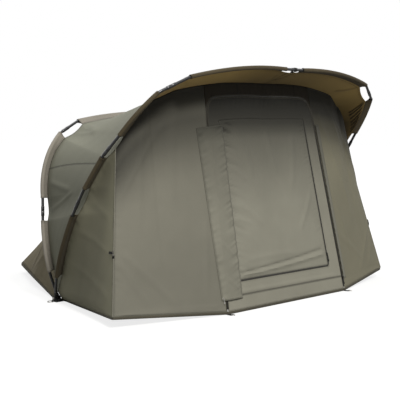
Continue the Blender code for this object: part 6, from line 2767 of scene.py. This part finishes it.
@dataclass
class Studio:
    """The camera, lamps and floor."""

    place: tuple[float, float, float] = (-5.915, -5.364, 1.157)
    yaw: float = math.radians(50.0)
    pitch: float = math.radians(-3.967)
    roll: float = math.radians(0.08)
    focal: float = 1136.8
    picture: float = 400.0
    sensor: float = 36.0
    clip: float = 60.0
    sky: float = 0.24
    aim: tuple[float, float, float] = (0.0, 0.0, 0.6)
    floor_half: float = 40.0
    floor_tone: Colour = (0.35, 0.35, 0.34)
    floor_near: tuple[float, float] = (2.2, 0.80)
    floor_far: tuple[float, float] = (5.0, 1.0)
    lamps: tuple[tuple[str, tuple[float, float, float], float, float, Colour], ...] = (
        ("key lamp", (-4.4, -7.4, 6.9), 2.0, 720.0, (1.0, 0.985, 0.96)),
        ("top lamp", (0.5, 3.0, 7.0), 5.0, 200.0, (1.0, 1.0, 1.0)),
    )

    def link(self, name: str, data: bpy.types.ID) -> bpy.types.Object:
        """An object of the scene for some data.

        Args:
            name: its name.
            data: the mesh, lamp or camera.

        Returns:
            The object.
        """
        made = bpy.data.objects.new(name, data)
        bpy.context.scene.collection.objects.link(made)
        return made

    def camera(self) -> None:
        """The camera, at the viewing angle of the photograph."""
        made = bpy.data.cameras.new("camera")
        made.sensor_width = self.sensor
        made.lens = self.focal / self.picture * self.sensor
        made.clip_end = self.clip
        camera = self.link("camera", made)
        ahead = Vector((
            math.sin(self.yaw) * math.cos(self.pitch),
            math.cos(self.yaw) * math.cos(self.pitch),
            math.sin(self.pitch),
        ))
        right = Vector((math.cos(self.yaw), -math.sin(self.yaw), 0.0))
        above = right.cross(ahead)
        turn = Matrix((right, above, -ahead)).transposed() @ Matrix.Rotation(self.roll, 3, "Z")
        camera.matrix_world = Matrix.Translation(self.place) @ turn.to_4x4()
        bpy.context.scene.camera = camera

    def lamp(
        self, name: str, place: tuple[float, float, float], size: float, power: float, tint: Colour
    ) -> None:
        """A square soft lamp that looks at the tent.

        Args:
            name: its name.
            place: where it hangs.
            size: its width.
            power: its power in watts.
            tint: its colour.
        """
        light = bpy.data.lights.new(name, "AREA")
        light.size = size
        light.energy = power
        light.color = tint
        lamp = self.link(name, light)
        lamp.location = place
        lamp.rotation_euler = (Vector(self.aim) - Vector(place)).to_track_quat("-Z", "Y").to_euler()

    def world(self) -> None:
        """A plain pale sky, white where the camera or a reflection looks at it."""
        world = bpy.data.worlds.new("studio")
        world.use_nodes = True
        nodes = world.node_tree.nodes
        links = world.node_tree.links
        nodes.clear()
        path = nodes.new("ShaderNodeLightPath")
        seen = nodes.new("ShaderNodeMath")
        seen.operation = "MAXIMUM"
        links.new(path.outputs["Is Camera Ray"], seen.inputs[0])
        links.new(path.outputs["Is Glossy Ray"], seen.inputs[1])
        plain = nodes.new("ShaderNodeBackground")
        plain.inputs["Color"].default_value = (0.97, 0.98, 1.0, 1.0)
        plain.inputs["Strength"].default_value = self.sky
        white = nodes.new("ShaderNodeBackground")
        white.inputs["Color"].default_value = (1.0, 1.0, 1.0, 1.0)
        white.inputs["Strength"].default_value = 1.0
        choose = nodes.new("ShaderNodeMixShader")
        links.new(seen.outputs[0], choose.inputs[0])
        links.new(plain.outputs[0], choose.inputs[1])
        links.new(white.outputs[0], choose.inputs[2])
        out = nodes.new("ShaderNodeOutputWorld")
        links.new(choose.outputs[0], out.inputs["Surface"])
        bpy.context.scene.world = world

    def floor(self) -> None:
        """A wide pale floor that keeps the tent's shadow."""
        bm = bmesh.new()
        bmesh.ops.create_grid(bm, x_segments=1, y_segments=1, size=self.floor_half)
        mesh = bpy.data.meshes.new("studio_floor")
        bm.to_mesh(mesh)
        bm.free()
        made = NodeTree("pale floor")
        inputs = made.shader.inputs
        inputs["Base Color"].default_value = (*self.floor_tone, 1.0)
        inputs["Roughness"].default_value = 1.0
        inputs["Specular IOR Level"].default_value = 0.0
        inputs["Emission Color"].default_value = (1.0, 1.0, 1.0, 1.0)
        away = made.add("ShaderNodeVectorMath", operation="LENGTH")
        made.link(made.add("ShaderNodeTexCoord").outputs["Object"], away.inputs[0])
        (near, low), (far, high) = self.floor_near, self.floor_far
        spread = made.add(
            "ShaderNodeMapRange", Value=away.outputs["Value"],
            From_Min=near, From_Max=far, To_Min=low, To_Max=high,
        )
        seen = made.add("ShaderNodeLightPath").outputs["Is Camera Ray"]
        made.link(made.maths("MULTIPLY", seen, spread.outputs["Result"]), inputs["Emission Strength"])
        mesh.materials.append(made.material)
        self.link("studio_floor", mesh)

    def set_up(self) -> None:
        """Places everything and sets how colours are shown."""
        bpy.context.scene.view_settings.view_transform = "Standard"
        self.camera()
        self.world()
        for lamp in self.lamps:
            self.lamp(*lamp)
        self.floor()


def main() -> None:
    """Builds every piece in order."""
    logging.basicConfig(level=logging.INFO, format="%(name)s %(message)s")
    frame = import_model()
    Studio().set_up()
    front, rear = make_front_rib(), make_rear_rib()
    joints = [("a", 0.42), ("b", 0.30), ("c", 0.40)]
    RibDress(front, Body.FRONT, PALETTE.front_sleeve, Slot.FRONT_SLEEVE).dress(joints, crown=True)
    RibDress(rear, Body.REAR, PALETTE.rear_sleeve, Slot.REAR_SLEEVE).dress(joints[:2], crown=False)
    canopy = Canopy(front, rear)
    canopy.build_roof()
    canopy.build_rear_wall()
    wall = FrontWall(canopy)
    wall.build_panels()
    wall.build_sides()
    wall.build_header()
    wall.build_door()
    wall.build_flaps()
    zips = ZipDress(wall)
    zips.build_door_zip()
    zips.build_window_zip()
    zips.build_slider("door_slider", Body.DOOR_SLIDER, wall.door_foot, zips.door_start)
    start = wall.window_low + zips.window_start
    zips.build_slider("window_slider", Body.WINDOW_SLIDER, wall.window_foot, start)
    hem = HemDress(wall)
    hem.build()
    fittings = Fittings(wall)
    for side, body in ((Side.LEFT, Body.RING_LEFT), (Side.RIGHT, Body.RING_RIGHT)):
        hem.build_tab(side)
        fittings.build_toggle(side)
        fittings.build_ring(side, body)
    fittings.build_flap_hook()
    fittings.build_crown_strap(front)
    fittings.paint_kept(frame)


if __name__ == "__main__":
    main()
